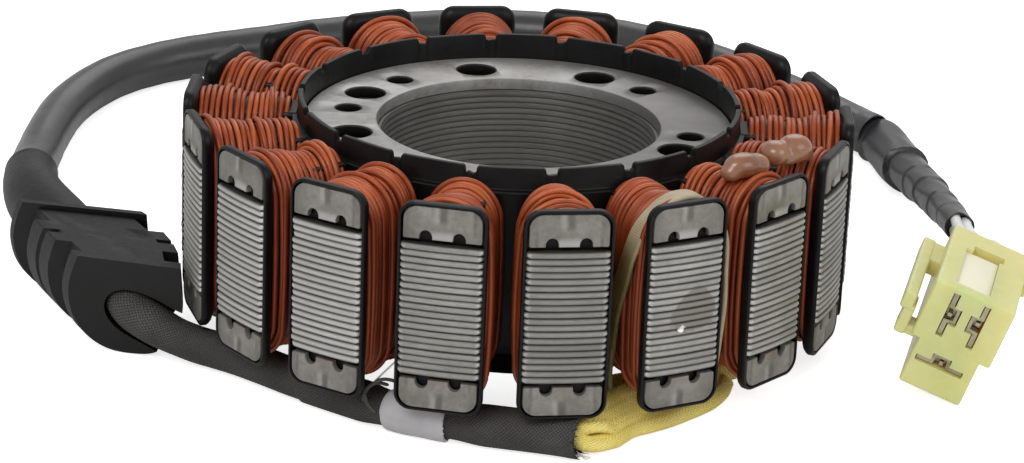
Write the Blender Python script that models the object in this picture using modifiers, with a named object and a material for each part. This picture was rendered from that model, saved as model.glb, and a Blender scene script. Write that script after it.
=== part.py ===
"""Wound stator of a flywheel alternator, with its three-phase lead.

Eighteen copper coils sit on the poles of a laminated ring between two folded
end plates. The lead leaves under the coils in a braided sleeve, passes a rubber
grommet, runs round the back in a plastic sheath and ends in a three-way plug.
The stator leans a little, because it lies on its own braided sleeve.

Units are metres, +Z is up, and the floor is z = 0. A pole's own frame has
x outwards along the pole, y along the rim and z along the stator's axis.
"""
import math

import bmesh
import bpy
from mathutils import Matrix, Quaternion, Vector

MM = 0.001
GAP = 0.3 * MM

# How the stator lies
LEAN_DEG = 4.148
LEAN_TOWARDS_DEG = 57.8
POLES = 18
FIRST_POLE_DEG = -162.15
POLE_STEP_DEG = 360.0 / POLES

# Lamination stack
RIM_RADIUS = 60.0 * MM
BORE_RADIUS = 24.5 * MM
YOKE_RADIUS = 38.2 * MM
NECK_HALF = 3.5 * MM
SHOE_INNER = 58.3 * MM
SHOE_HALF = 6.5 * MM
STACK_HALF = 11.75 * MM
BORE_SIDES = 36

# End plates with their folded tabs
PLATE_BORE_RADIUS = 25.4 * MM
TAB_FOOT = STACK_HALF + GAP
PLATE_FOOT = 12.2 * MM
PLATE_TOP = 14.0 * MM
TAB_THICKNESS = 1.2 * MM
TAB_TOP = 17.55 * MM
TAB_CORNER = 2.2 * MM
RELIEF_RADIUS = 1.1 * MM
RELIEF_OFFSET = 2.8 * MM
BEND_START = 57.0 * MM
BEND_HALF = 1.3 * MM
HOLE_CIRCLE = 31.0 * MM
LARGE_HOLE_RADIUS = 3.6 * MM
SMALL_HOLE_RADIUS = 2.3 * MM
LARGE_HOLES_DEG = (-165.3, -115.4, -72.2, -26.0, 20.0, 64.5, 152.6)
SMALL_HOLES_DEG = (-134.9, -97.7, 79.8, 131.9)

# Insulator, moulded round the yoke and every neck
COLLAR_INNER = YOKE_RADIUS + GAP
COLLAR_OUTER = 39.5 * MM
COLLAR_HALF = 18.6 * MM
LEDGE_RADIUS = 40.6 * MM
LEDGE_HALF = 14.6 * MM
COLLAR_SIDES = 36
SPOOL_HALF_WIDTH = 4.2 * MM
SPOOL_HALF_HEIGHT = 14.8 * MM
FLANGE_BACK = 57.0 * MM
FLANGE_FRONT = 59.8 * MM
POCKET_FLOOR = SHOE_INNER - GAP
POCKET_CORNER = 1.3 * MM
FLANGE_HALF_WIDTH = 7.5 * MM
FLANGE_HALF_HEIGHT = 18.4 * MM
FLANGE_CORNER = 2.6 * MM
COLLAR_NOTCH_HALF = 0.9 * MM
COLLAR_NOTCH_DEPTH = 1.1 * MM

# Coils
TURNS = 15
COIL_START = LEDGE_RADIUS + GAP
COIL_END = FLANGE_BACK - GAP
WIRE_RIDGE = 0.5 * MM
COIL_HALF_WIDTHS = (6.2 * MM, 7.7 * MM)
COIL_HALF_HEIGHTS = (17.0 * MM, 17.9 * MM)
COIL_CHAMFERS = (2.8 * MM, 5.0 * MM)
STRAP_POLE = 6
STRAP_START = 52.2 * MM
STRAP_END = 56.6 * MM
STRAP_THICKNESS = 0.6 * MM
STRAP_FOOT = -15.0 * MM

# Resin caps over the wire joints: place in the stator's own frame, and half sizes
RESIN_CAPS = {
    "joint_cap_a": ((37.5 * MM, -35.8 * MM, 18.05 * MM), (4.3 * MM, 2.9 * MM, 3.25 * MM), 25.0),
    "joint_cap_b": ((45.3 * MM, -27.4 * MM, 18.05 * MM), (4.4 * MM, 2.8 * MM, 3.15 * MM), 10.0),
}

# Lead: routes on the floor, in millimetres, and radii
SLEEVE_SPACING = 5.2 * MM
SLEEVE_RADIUS = 3.6 * MM
SLEEVE_GROMMET_RADIUS = 4.2 * MM
SLEEVE_BAND_RADIUS = 3.0 * MM
SLEEVE_ROUTE = (
    (-69.8, -8.6, 9.4), (-69.4, -13.4, 9.1), (-67.8, -17.3, 8.3), (-64.8, -20.0, 7.0),
    (-60.9, -21.5, 5.2), (-56.4, -23.1, 3.95), (-52.1, -25.3, 3.65), (-48.2, -27.9, 3.65),
    (-43.1, -31.9, 3.65), (-38.1, -36.0, 3.65), (-30.0, -41.9, 3.65), (-21.9, -47.4, 3.65),
    (-17.3, -49.9, 3.65), (-12.6, -51.7, 3.65), (-7.7, -53.2, 3.65), (-2.7, -54.6, 3.65),
    (4.0, -56.4, 3.65), (10.4, -58.3, 3.65),
)
BAND_SPAN = (0.665, 0.775)
BAND_OUTER = 3.6 * MM
BAND_INNER = 3.3 * MM
PHASE_RADIUS = 1.5 * MM
PHASE_ROUTES = {
    "phase_sleeve_a": (
        (12.2, -58.6, 2.6), (15.3, -55.9, 2.4), (18.6, -51.0, 2.0), (22.2, -48.4, 1.8),
        (26.5, -45.6, 1.7), (31.2, -41.2, 1.7), (34.2, -36.8, 1.7), (35.4, -33.0, 1.9),
    ),
    "phase_sleeve_b": (
        (12.4, -56.6, 5.4), (14.8, -53.6, 5.0), (18.4, -48.6, 4.4), (22.4, -45.0, 3.6),
        (26.6, -41.6, 2.4), (29.6, -37.4, 1.8), (31.0, -33.6, 1.7), (33.4, -29.2, 1.8),
        (37.8, -26.0, 2.0),
    ),
    "phase_sleeve_c": (
        (12.0, -54.1, 2.2), (12.4, -50.4, 2.0), (14.0, -46.4, 1.8), (16.8, -42.6, 1.7),
        (20.8, -39.6, 1.7), (23.6, -36.4, 1.8),
    ),
}
BOOT_ROUTE = (
    (-83.4, 7.6, 9.0), (-82.8, 10.1, 9.0), (-84.8, 15.6, 9.0), (-88.4, 23.5, 8.7),
    (-91.9, 32.5, 8.0), (-94.3, 42.0, 7.0), (-95.3, 49.5, 6.2),
)
BOOT_RADII = (6.4 * MM, 6.4 * MM, 6.4 * MM, 6.2 * MM, 5.9 * MM, 5.4 * MM, 5.1 * MM)
SHEATH_RADIUS = 4.6 * MM
SHEATH_ROUTE = (
    (-95.4, 50.1, 6.1), (-95.8, 56.5, 5.2), (-95.8, 64.0, 4.7), (-95.4, 73.5, 4.65),
    (-93.9, 87.0, 4.65), (-90.3, 98.6, 4.65), (-84.6, 108.4, 4.65), (-76.2, 115.8, 4.65),
    (-66.5, 120.8, 4.65), (-55.0, 125.4, 4.65), (-42.0, 130.4, 4.65), (-23.0, 134.9, 4.65),
    (-8.0, 136.1, 4.65), (6.0, 134.8, 4.65), (23.1, 129.3, 4.65), (37.2, 119.4, 4.65),
    (48.6, 107.2, 4.65), (59.7, 92.6, 4.65), (69.8, 77.6, 4.65), (74.0, 70.6, 4.65),
)
TAPE_ROUTE = (
    (74.7, 68.6, 4.7), (76.4, 57.7, 5.3), (78.4, 46.0, 6.5), (79.8, 35.0, 8.2),
    (80.7, 24.0, 10.0), (81.2, 14.5, 11.9), (81.4, 6.2, 13.5),
)
TAPE_STEPS = ((0.0, 4.2 * MM), (0.36, 4.0 * MM), (0.38, 3.6 * MM), (0.68, 3.4 * MM), (0.70, 3.1 * MM),
              (1.0, 2.9 * MM))
WIRE_RADIUS = 0.95 * MM

# Grommet: the top edges of its front and back faces on the floor plan, in millimetres
GROMMET_FRONT = ((-77.2, -16.6), (-58.6, -22.2))
GROMMET_BACK = ((-91.2, 9.1), (-68.0, 3.2))
GROMMET_TOP = 18.0 * MM
GROMMET_LIPS = ((0.0, 0.10), (0.34, 0.49), (0.55, 0.70), (0.94, 1.0))
GROMMET_GROOVE_DEPTH = 3.0 * MM
GROMMET_TOP_STEP = 0.8 * MM
GROMMET_BULGE = 2.2 * MM

# Plug: its own frame has x across, y from its face to the wires and z up
PLUG_FACE = (75.83 * MM, -40.35 * MM, 15.86 * MM)
PLUG_ROLL_DEG = 20.0
PLUG_YAW_DEG = -14.6
PLUG_LENGTH = 24.6 * MM
PLUG_HALF_WIDTHS = (7.3 * MM, 7.15 * MM)
PLUG_HALF_HEIGHTS = (5.85 * MM, 5.7 * MM)
KEY_SPAN = (-5.85 * MM, 5.45 * MM)
KEY_FOOT = -14.7 * MM
KEY_LENGTH = 18.0 * MM
ARM_OUTER = -11.1 * MM
ARM_INNER = -8.85 * MM
ARM_SPAN = (-2.1 * MM, 1.3 * MM)
ARM_FRONT = 0.7 * MM
SLOT_DEPTH = 12.0 * MM
BLADE_LENGTH = 9.0 * MM
BLADE_RECESS = 0.6 * MM
BLADES = {
    "terminal_a": (-2.95 * MM, 0.45 * MM, 90.0),
    "terminal_b": (2.6 * MM, 0.45 * MM, -90.0),
    "terminal_c": (-0.6 * MM, -9.15 * MM, 0.0),
}

STEEL = ("zinc_steel", (0.62, 0.62, 0.58), 0.42, 0.8)
LAMINATION = ("lamination_steel", (0.52, 0.51, 0.47), 0.45, 0.8)
MOULDING = ("black_moulding", (0.025, 0.025, 0.027), 0.35, 0.0)
COPPER = ("enamelled_copper", (0.62, 0.17, 0.06), 0.3, 0.3)
RESIN = ("tan_resin", (0.45, 0.22, 0.12), 0.3, 0.0)
GLASS_BRAID = ("yellow_glass_braid", (0.80, 0.66, 0.22), 0.6, 0.0)
BLACK_BRAID = ("black_glass_braid", (0.045, 0.042, 0.042), 0.6, 0.0)
BAND_GREY = ("grey_shrink_band", (0.55, 0.53, 0.53), 0.5, 0.0)
RUBBER = ("black_rubber", (0.03, 0.028, 0.028), 0.6, 0.0)
SHEATH = ("grey_black_pvc", (0.05, 0.048, 0.048), 0.4, 0.0)
TAPE = ("black_tape", (0.035, 0.034, 0.036), 0.35, 0.0)
WIRE_WHITE = ("white_insulation", (0.8, 0.8, 0.8), 0.4, 0.0)
NYLON = ("ivory_nylon", (0.80, 0.78, 0.50), 0.35, 0.0)
BRASS = ("tinned_brass", (0.45, 0.38, 0.22), 0.35, 0.9)


def clear_scene():
    for obj in list(bpy.data.objects):
        bpy.data.objects.remove(obj, do_unlink=True)


def new_collection(name):
    collection = bpy.data.collections.new(name)
    bpy.context.scene.collection.children.link(collection)
    return collection


def material(finish):
    name, colour, roughness, metallic = finish
    mat = bpy.data.materials.get(name) or bpy.data.materials.new(name)
    mat.use_nodes = True
    shader = mat.node_tree.nodes["Principled BSDF"]
    shader.inputs["Base Color"].default_value = (*colour, 1.0)
    shader.inputs["Roughness"].default_value = roughness
    shader.inputs["Metallic"].default_value = metallic
    mat.diffuse_color = (*colour, 1.0)
    return mat


def add_part(name, mesh, finish, parent=None, matrix=None):
    obj = bpy.data.objects.new(name, mesh)
    if not mesh.materials:
        mesh.materials.append(material(finish))
    parts.objects.link(obj)
    obj.parent = parent
    if matrix is not None:
        obj.matrix_local = matrix
    return obj


def add_cutter(name, mesh, parent=None, matrix=None, group=None):
    obj = bpy.data.objects.new(name, mesh)
    (group or cutters).objects.link(obj)
    obj.parent = parent
    if matrix is not None:
        obj.matrix_local = matrix
    obj.hide_render = True
    obj.display_type = "WIRE"
    return obj


def boolean(obj, operation, group=None, cutter=None):
    modifier = obj.modifiers.new(operation.lower(), "BOOLEAN")
    modifier.solver = "EXACT"
    modifier.operation = operation
    if group:
        modifier.operand_type = "COLLECTION"
        modifier.collection = group
    else:
        modifier.object = cutter


def finish_mesh(bm, name, smooth_deg=None):
    bmesh.ops.remove_doubles(bm, verts=bm.verts, dist=1e-6)
    bmesh.ops.recalc_face_normals(bm, faces=bm.faces)
    mesh = bpy.data.meshes.new(name)
    bm.to_mesh(mesh)
    bm.free()
    if smooth_deg:
        mesh.shade_smooth()
        mesh.set_sharp_from_angle(angle=math.radians(smooth_deg))
    return mesh


def box_mesh(name, low, high):
    bm = bmesh.new()
    bmesh.ops.create_cube(bm, size=1.0)
    for vert in bm.verts:
        vert.co = Vector(low[i] + (vert.co[i] + 0.5) * (high[i] - low[i]) for i in range(3))
    return finish_mesh(bm, name)


def loft_mesh(name, rings, closed_ring_loop=False, smooth_deg=None):
    """A skin through rings of points, ended by two caps or joined back to its start."""
    bm = bmesh.new()
    rows = [[bm.verts.new(point) for point in ring] for ring in rings]
    count = len(rows[0])
    last = len(rows) if closed_ring_loop else len(rows) - 1
    for i in range(last):
        row, following = rows[i], rows[(i + 1) % len(rows)]
        for j in range(count):
            bm.faces.new((row[j], row[(j + 1) % count], following[(j + 1) % count], following[j]))
    if not closed_ring_loop:
        bm.faces.new(reversed(rows[0]))
        bm.faces.new(rows[-1])
    return finish_mesh(bm, name, smooth_deg)


def curve_to_mesh(curve_obj, name):
    bpy.context.view_layer.update()
    depsgraph = bpy.context.evaluated_depsgraph_get()
    raw = bpy.data.meshes.new_from_object(curve_obj.evaluated_get(depsgraph))
    bm = bmesh.new()
    bm.from_mesh(raw)
    bpy.data.meshes.remove(raw)
    mesh = finish_mesh(bm, name)
    bpy.data.objects.remove(curve_obj, do_unlink=True)
    return mesh


def outline_mesh(name, loops, low, high):
    """A flat outline with its holes, as a slab from height low to height high."""
    curve = bpy.data.curves.new(name, "CURVE")
    curve.dimensions = "2D"
    curve.fill_mode = "BOTH"
    curve.extrude = (high - low) / 2.0
    for loop in loops:
        spline = curve.splines.new("POLY")
        spline.points.add(len(loop) - 1)
        for point, (x, y) in zip(spline.points, loop):
            point.co = (x, y, 0.0, 1.0)
        spline.use_cyclic_u = True
    obj = bpy.data.objects.new(name, curve)
    bpy.context.scene.collection.objects.link(obj)
    mesh = curve_to_mesh(obj, name)
    mesh.transform(Matrix.Translation((0.0, 0.0, (low + high) / 2.0)))
    return mesh


def turned_mesh(name, profile, sides):
    """A closed profile of (radius, height) points turned round the Z axis."""
    bm = bmesh.new()
    verts = [bm.verts.new((r, 0.0, z)) for r, z in profile]
    for first, second in zip(verts, verts[1:] + verts[:1]):
        bm.edges.new((first, second))
    mesh = bpy.data.meshes.new(name)
    bm.to_mesh(mesh)
    bm.free()
    obj = bpy.data.objects.new(name, mesh)
    bpy.context.scene.collection.objects.link(obj)
    screw = obj.modifiers.new("turn", "SCREW")
    screw.steps = sides
    screw.render_steps = sides
    screw.use_merge_vertices = True
    screw.merge_threshold = 0.00001
    return curve_to_mesh(obj, name)


def circle_loop(centre, radius, sides, start_deg=0.0):
    angles = (math.radians(start_deg + 360.0 * i / sides) for i in range(sides))
    return [(centre[0] + radius * math.cos(a), centre[1] + radius * math.sin(a)) for a in angles]


def arc_points(centre, radius, from_deg, to_deg, steps):
    angles = (math.radians(from_deg + (to_deg - from_deg) * i / steps) for i in range(steps + 1))
    return [(centre[0] + radius * math.cos(a), centre[1] + radius * math.sin(a)) for a in angles]


def rounded_rectangle(half_width, half_height, corner, steps=2):
    x, y = half_width - corner, half_height - corner
    points = []
    for cx, cy, start in ((x, y, 0.0), (-x, y, 90.0), (-x, -y, 180.0), (x, -y, 270.0)):
        points += arc_points((cx, cy), corner, start, start + 90.0, steps)
    return points


def pole_azimuth(number):
    """Direction of pole 1 to 18, in radians from +X about the stator's axis."""
    return math.radians(FIRST_POLE_DEG + POLE_STEP_DEG * (number - 1))


def pole_matrix(number):
    return Matrix.Rotation(pole_azimuth(number), 4, "Z")


def upright_in_pole():
    """Turns a flat outline up: its x runs along the rim, its y up, its thickness outwards."""
    return Matrix(((0, 0, 1, 0), (1, 0, 0, 0), (0, 1, 0, 0), (0, 0, 0, 1)))


def ring_with_poles(bore, tooth_points):
    """The ring's outer loop, with one tooth drawn at every pole, and its bore."""
    loop = []
    for number in range(1, POLES + 1):
        azimuth = pole_azimuth(number)
        cos_a, sin_a = math.cos(azimuth), math.sin(azimuth)
        loop += [(x * cos_a - y * sin_a, x * sin_a + y * cos_a) for x, y in tooth_points]
        middle = azimuth + math.radians(POLE_STEP_DEG / 2.0)
        loop.append((YOKE_RADIUS * math.cos(middle), YOKE_RADIUS * math.sin(middle)))
    return [loop, circle_loop((0.0, 0.0), bore, BORE_SIDES)]


def bolt_holes():
    loops = []
    for angles, radius, sides in ((LARGE_HOLES_DEG, LARGE_HOLE_RADIUS, 10),
                                  (SMALL_HOLES_DEG, SMALL_HOLE_RADIUS, 8)):
        for angle in angles:
            turn = math.radians(angle - 90.0)
            centre = (HOLE_CIRCLE * math.cos(turn), HOLE_CIRCLE * math.sin(turn))
            loops.append(circle_loop(centre, radius, sides))
    return loops


def neck_base(half_width):
    return math.sqrt(YOKE_RADIUS ** 2 - half_width ** 2)


def make_stack(stator):
    edge = math.sqrt(RIM_RADIUS ** 2 - SHOE_HALF ** 2)
    half = [(neck_base(NECK_HALF), NECK_HALF), (SHOE_INNER, NECK_HALF), (SHOE_INNER, SHOE_HALF),
            (edge, SHOE_HALF)]
    tooth = [(x, -y) for x, y in half] + [(RIM_RADIUS, 0.0)] + list(reversed(half))
    loops = ring_with_poles(BORE_RADIUS, tooth) + bolt_holes()
    mesh = outline_mesh("lamination_stack", loops, -STACK_HALF, STACK_HALF)
    add_part("lamination_stack", mesh, LAMINATION, stator)


def tab_outline():
    """One folded tab seen from outside: relief notches at its foot, rounded top corners."""
    inner = RELIEF_OFFSET - RELIEF_RADIUS
    right = [(inner, TAB_FOOT)]
    right += arc_points((RELIEF_OFFSET, TAB_FOOT), RELIEF_RADIUS, 180.0, 0.0, 3)[1:]
    right.append((SHOE_HALF, TAB_FOOT))
    corner = (SHOE_HALF - TAB_CORNER, TAB_TOP - TAB_CORNER)
    right += arc_points(corner, TAB_CORNER, 0.0, 90.0, 2)
    return right + [(-x, y) for x, y in reversed(right)]


def make_end_plate(name, stator, side):
    """Side is 1 for the upper plate and -1 for the lower one, which is turned over."""
    tab_middle = SHOE_INNER + TAB_THICKNESS / 2.0
    half = [(neck_base(NECK_HALF), NECK_HALF), (BEND_START, NECK_HALF), (BEND_START, BEND_HALF),
            (tab_middle, BEND_HALF)]
    tooth = [(x, -y) for x, y in half] + list(reversed(half))
    loops = ring_with_poles(PLATE_BORE_RADIUS, tooth) + bolt_holes()
    low, high = (PLATE_FOOT, PLATE_TOP) if side > 0 else (-PLATE_TOP, -PLATE_FOOT)
    plate = add_part(name, outline_mesh(name, loops, low, high), STEEL, stator)
    tab = outline_mesh(name + "_tab", [tab_outline()], SHOE_INNER, SHOE_INNER + TAB_THICKNESS)
    tab.transform(upright_in_pole())
    if side < 0:
        tab.transform(Matrix.Rotation(math.pi, 4, "X"))
    group = new_collection(name + "_tabs")
    for number in range(1, POLES + 1):
        add_cutter(f"{name}_tab_{number:02d}", tab, stator, pole_matrix(number), group)
    boolean(plate, "UNION", group=group)


def make_insulator(stator):
    profile = [(COLLAR_OUTER, COLLAR_HALF), (COLLAR_OUTER, LEDGE_HALF), (LEDGE_RADIUS, LEDGE_HALF),
               (LEDGE_RADIUS, -LEDGE_HALF), (COLLAR_OUTER, -LEDGE_HALF), (COLLAR_OUTER, -COLLAR_HALF),
               (COLLAR_INNER, -COLLAR_HALF), (COLLAR_INNER, COLLAR_HALF)]
    turn = Matrix.Rotation(pole_azimuth(1), 4, "Z")
    mesh = turned_mesh("insulator", profile, COLLAR_SIDES)
    mesh.transform(turn)
    insulator = add_part("insulator", mesh, MOULDING, stator)

    middle_radius = (COLLAR_INNER + LEDGE_RADIUS) / 2.0
    spool = box_mesh("spool", (middle_radius, -SPOOL_HALF_WIDTH, -SPOOL_HALF_HEIGHT),
                     (FLANGE_BACK + GAP, SPOOL_HALF_WIDTH, SPOOL_HALF_HEIGHT))
    flange_loop = rounded_rectangle(FLANGE_HALF_WIDTH, FLANGE_HALF_HEIGHT, FLANGE_CORNER)
    flange = outline_mesh("flange", [flange_loop], FLANGE_BACK, FLANGE_FRONT)
    flange.transform(upright_in_pole())
    hole = box_mesh("neck_hole", (YOKE_RADIUS - 1.5 * MM, -NECK_HALF - GAP, -PLATE_TOP - GAP),
                    (SHOE_INNER, NECK_HALF + GAP, PLATE_TOP + GAP))
    pocket_loop = rounded_rectangle(SHOE_HALF + GAP, TAB_TOP + GAP, POCKET_CORNER, 1)
    pocket = outline_mesh("shoe_pocket", [pocket_loop], POCKET_FLOOR, RIM_RADIUS + 1.0 * MM)
    pocket.transform(upright_in_pole())
    notch = box_mesh("collar_notch",
                     (COLLAR_INNER - MM, -COLLAR_NOTCH_HALF, COLLAR_HALF - COLLAR_NOTCH_DEPTH),
                     (COLLAR_OUTER + MM, COLLAR_NOTCH_HALF, COLLAR_HALF + MM))
    added, removed = new_collection("insulator_added"), new_collection("insulator_removed")
    for number in range(1, POLES + 1):
        place = pole_matrix(number)
        add_cutter(f"spool_{number:02d}", spool, stator, place, added)
        add_cutter(f"flange_{number:02d}", flange, stator, place, added)
        add_cutter(f"neck_hole_{number:02d}", hole, stator, place, removed)
        add_cutter(f"shoe_pocket_{number:02d}", pocket, stator, place, removed)
        add_cutter(f"collar_notch_{number:02d}", notch, stator, place, removed)
    boolean(insulator, "UNION", group=added)
    boolean(insulator, "DIFFERENCE", group=removed)


def coil_section(radius, outwards=0.0):
    """The coil's outline at one radius: a tall octagon, wider and taller at the rim."""
    share = (radius - COIL_START) / (COIL_END - COIL_START)
    width = COIL_HALF_WIDTHS[0] + share * (COIL_HALF_WIDTHS[1] - COIL_HALF_WIDTHS[0]) + outwards
    height = COIL_HALF_HEIGHTS[0] + share * (COIL_HALF_HEIGHTS[1] - COIL_HALF_HEIGHTS[0]) + outwards
    cut = COIL_CHAMFERS[0] + share * (COIL_CHAMFERS[1] - COIL_CHAMFERS[0])
    quarter = [(width, height - cut), (width - cut, height)]
    upper = quarter + [(-y, z) for y, z in reversed(quarter)]
    return upper + [(-y, -z) for y, z in upper]


def make_coils(stator):
    """Each coil is a ring round its spool, with one ridge for every turn along the pole."""
    rings = []
    steps = 2 * TURNS
    for i in range(steps + 1):
        radius = COIL_START + (COIL_END - COIL_START) * i / steps
        outwards = 0.0 if i % 2 else -WIRE_RIDGE
        rings.append([(radius, y, z) for y, z in coil_section(radius, outwards)])
    inner_width, inner_height = SPOOL_HALF_WIDTH + GAP, SPOOL_HALF_HEIGHT + GAP
    inner = [(inner_width, inner_height - GAP), (inner_width - GAP, inner_height)]
    inner += [(-y, z) for y, z in reversed(inner)]
    inner += [(-y, -z) for y, z in inner]
    for radius in (COIL_END, COIL_START):
        rings.append([(radius, y, z) for y, z in inner])
    mesh = loft_mesh("coil", rings, closed_ring_loop=True)
    for number in range(1, POLES + 1):
        add_part(f"coil_{number:02d}", mesh, COPPER, stator, pole_matrix(number))


def make_strap(stator):
    """A flat strap over the outer end of one coil, with a leg down each side of it."""
    middle = (STRAP_START + STRAP_END) / 2.0
    inner = coil_section(STRAP_END, GAP)
    outer = coil_section(STRAP_END, GAP + STRAP_THICKNESS)
    arch = [0, 1, 2, 3]
    inner_arch = [(inner[0][0], STRAP_FOOT)] + [inner[i] for i in arch] + [(inner[3][0], STRAP_FOOT)]
    outer_arch = [(outer[0][0], STRAP_FOOT)] + [outer[i] for i in arch] + [(outer[3][0], STRAP_FOOT)]
    loop = outer_arch + list(reversed(inner_arch))
    mesh = outline_mesh("lead_strap", [loop], STRAP_START, 2.0 * middle - STRAP_START)
    mesh.transform(upright_in_pole())
    add_part("lead_strap", mesh, GLASS_BRAID, stator, pole_matrix(STRAP_POLE))


def make_resin_caps(stator):
    for name, (place, half_size, turn_deg) in RESIN_CAPS.items():
        bm = bmesh.new()
        bmesh.ops.create_uvsphere(bm, u_segments=12, v_segments=8, radius=1.0)
        bmesh.ops.bisect_plane(bm, geom=bm.verts[:] + bm.edges[:] + bm.faces[:], dist=1e-5,
                               plane_co=(0, 0, 0), plane_no=(0, 0, -1), clear_outer=True)
        bmesh.ops.holes_fill(bm, edges=[edge for edge in bm.edges if edge.is_boundary])
        bmesh.ops.scale(bm, vec=Vector(half_size), verts=bm.verts)
        mesh = finish_mesh(bm, name, 40.0)
        matrix = Matrix.Translation(place) @ Matrix.Rotation(math.radians(turn_deg), 4, "Z")
        add_part(name, mesh, RESIN, stator, matrix)


def spline_points(route, spacing):
    """Points on a smooth curve through a hand-laid route, about one spacing apart."""
    knots = [Vector(point) * MM for point in route]
    ends = [2.0 * knots[0] - knots[1]] + knots + [2.0 * knots[-1] - knots[-2]]
    fine = []
    for i in range(1, len(ends) - 2):
        p0, p1, p2, p3 = ends[i - 1:i + 3]
        for j in range(12):
            t = j / 12.0
            fine.append(0.5 * (2 * p1 + (p2 - p0) * t + (2 * p0 - 5 * p1 + 4 * p2 - p3) * t ** 2
                               + (3 * p1 - p0 - 3 * p2 + p3) * t ** 3))
    fine.append(knots[-1])
    lengths = [0.0]
    for first, second in zip(fine, fine[1:]):
        lengths.append(lengths[-1] + (second - first).length)
    count = max(2, round(lengths[-1] / spacing))
    points, index = [], 0
    for i in range(count + 1):
        target = lengths[-1] * i / count
        while index < len(fine) - 2 and lengths[index + 1] < target:
            index += 1
        step = lengths[index + 1] - lengths[index]
        points.append(fine[index].lerp(fine[index + 1], min(1.0, (target - lengths[index]) / step)))
    return points


def tube_curve(name, points, radii, resolution):
    """A round tube as a poly curve: the radii are one number, or one for each point."""
    if not isinstance(radii, (list, tuple)):
        radii = [radii] * len(points)
    curve = bpy.data.curves.new(name, "CURVE")
    curve.dimensions = "3D"
    curve.bevel_depth = max(radii)
    curve.bevel_resolution = resolution
    curve.use_fill_caps = True
    spline = curve.splines.new("POLY")
    spline.points.add(len(points) - 1)
    for point, place, radius in zip(spline.points, points, radii):
        point.co = (*place, 1.0)
        point.radius = radius / max(radii)
    return curve


def add_tube(name, points, radii, finish, resolution=2):
    curve = tube_curve(name, points, radii, resolution)
    curve.materials.append(material(finish))
    obj = bpy.data.objects.new(name, curve)
    parts.objects.link(obj)
    return obj


def sleeve_radius(share):
    """The braided sleeve narrows under its band and is widest where it leaves the grommet."""
    if share < 0.2:
        return SLEEVE_GROMMET_RADIUS + (SLEEVE_RADIUS - SLEEVE_GROMMET_RADIUS) * share / 0.2
    reach = 0.035
    into = min(max((share - BAND_SPAN[0] + 2 * reach) / reach, 0.0), 1.0)
    out = min(max((BAND_SPAN[1] + 2 * reach - share) / reach, 0.0), 1.0)
    return SLEEVE_RADIUS + (SLEEVE_BAND_RADIUS - SLEEVE_RADIUS) * min(into, out)


def frame_along(points, index):
    """Sideways and upward directions across a route at one of its points."""
    before, after = points[max(index - 1, 0)], points[min(index + 1, len(points) - 1)]
    forward = (after - before).normalized()
    side = forward.cross(Vector((0, 0, 1))).normalized()
    return side, side.cross(forward).normalized()


def make_sleeve_and_band():
    points = spline_points(SLEEVE_ROUTE, SLEEVE_SPACING)
    shares = [i / (len(points) - 1) for i in range(len(points))]
    add_tube("braided_sleeve", points, [sleeve_radius(share) for share in shares], BLACK_BRAID, 3)

    fine = spline_points(SLEEVE_ROUTE, 1.5 * MM)
    first, last = (round(share * (len(fine) - 1)) for share in BAND_SPAN)
    picks = [round(first + (last - first) * i / 3) for i in range(4)]
    sides = 12
    rings = []
    for radius, order in ((BAND_OUTER, picks), (BAND_INNER, list(reversed(picks)))):
        for index in order:
            side, up = frame_along(fine, index)
            turns = [2.0 * math.pi * j / sides for j in range(sides)]
            rings.append([fine[index] + radius * (math.cos(t) * side + math.sin(t) * up) for t in turns])
    mesh = loft_mesh("marker_band", rings, closed_ring_loop=True)
    add_part("marker_band", mesh, BAND_GREY)


def make_phase_sleeves():
    for name, route in PHASE_ROUTES.items():
        add_tube(name, spline_points(route, 4.5 * MM), PHASE_RADIUS, GLASS_BRAID, 2)


def grommet_ring(share, inset, top):
    """A cross-section: flat top, full left cheek, round foot, right side a little full midway."""
    (flx, fly), (frx, fry) = GROMMET_FRONT
    (blx, bly), (brx, bry) = GROMMET_BACK
    left = Vector((flx + share * (blx - flx), fly + share * (bly - fly), 0.0)) * MM
    right = Vector((frx + share * (brx - frx), fry + share * (bry - fry), 0.0)) * MM
    right.x += GROMMET_BULGE * 4.0 * share * (1.0 - share)
    across = (right - left).normalized()
    width = (right - left).length
    outline = [(0.0, 1.0), (-1.5, 0.8), (-2.3, 0.58), (-1.6, 0.34), (0.8, 0.15), (4.6, 0.035),
               (9.4, 0.012), (-5.4, 0.06), (-1.9, 0.25), (0.0, 0.5), (0.0, 1.0)]
    centre, points = width / 2.0, []
    for i, (x, level) in enumerate(outline):
        along = x * MM + (width if i > 6 else 0.0)
        height = level * GROMMET_TOP
        if inset and 0 < i < len(outline) - 1:
            along += inset if along < centre else -inset
            height += inset * (1.0 - level) ** 2
        if i in (0, len(outline) - 1):
            height = top
            along += inset if i == 0 else -inset
        points.append(left + across * along + Vector((0.0, 0.0, height)))
    return points


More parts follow.
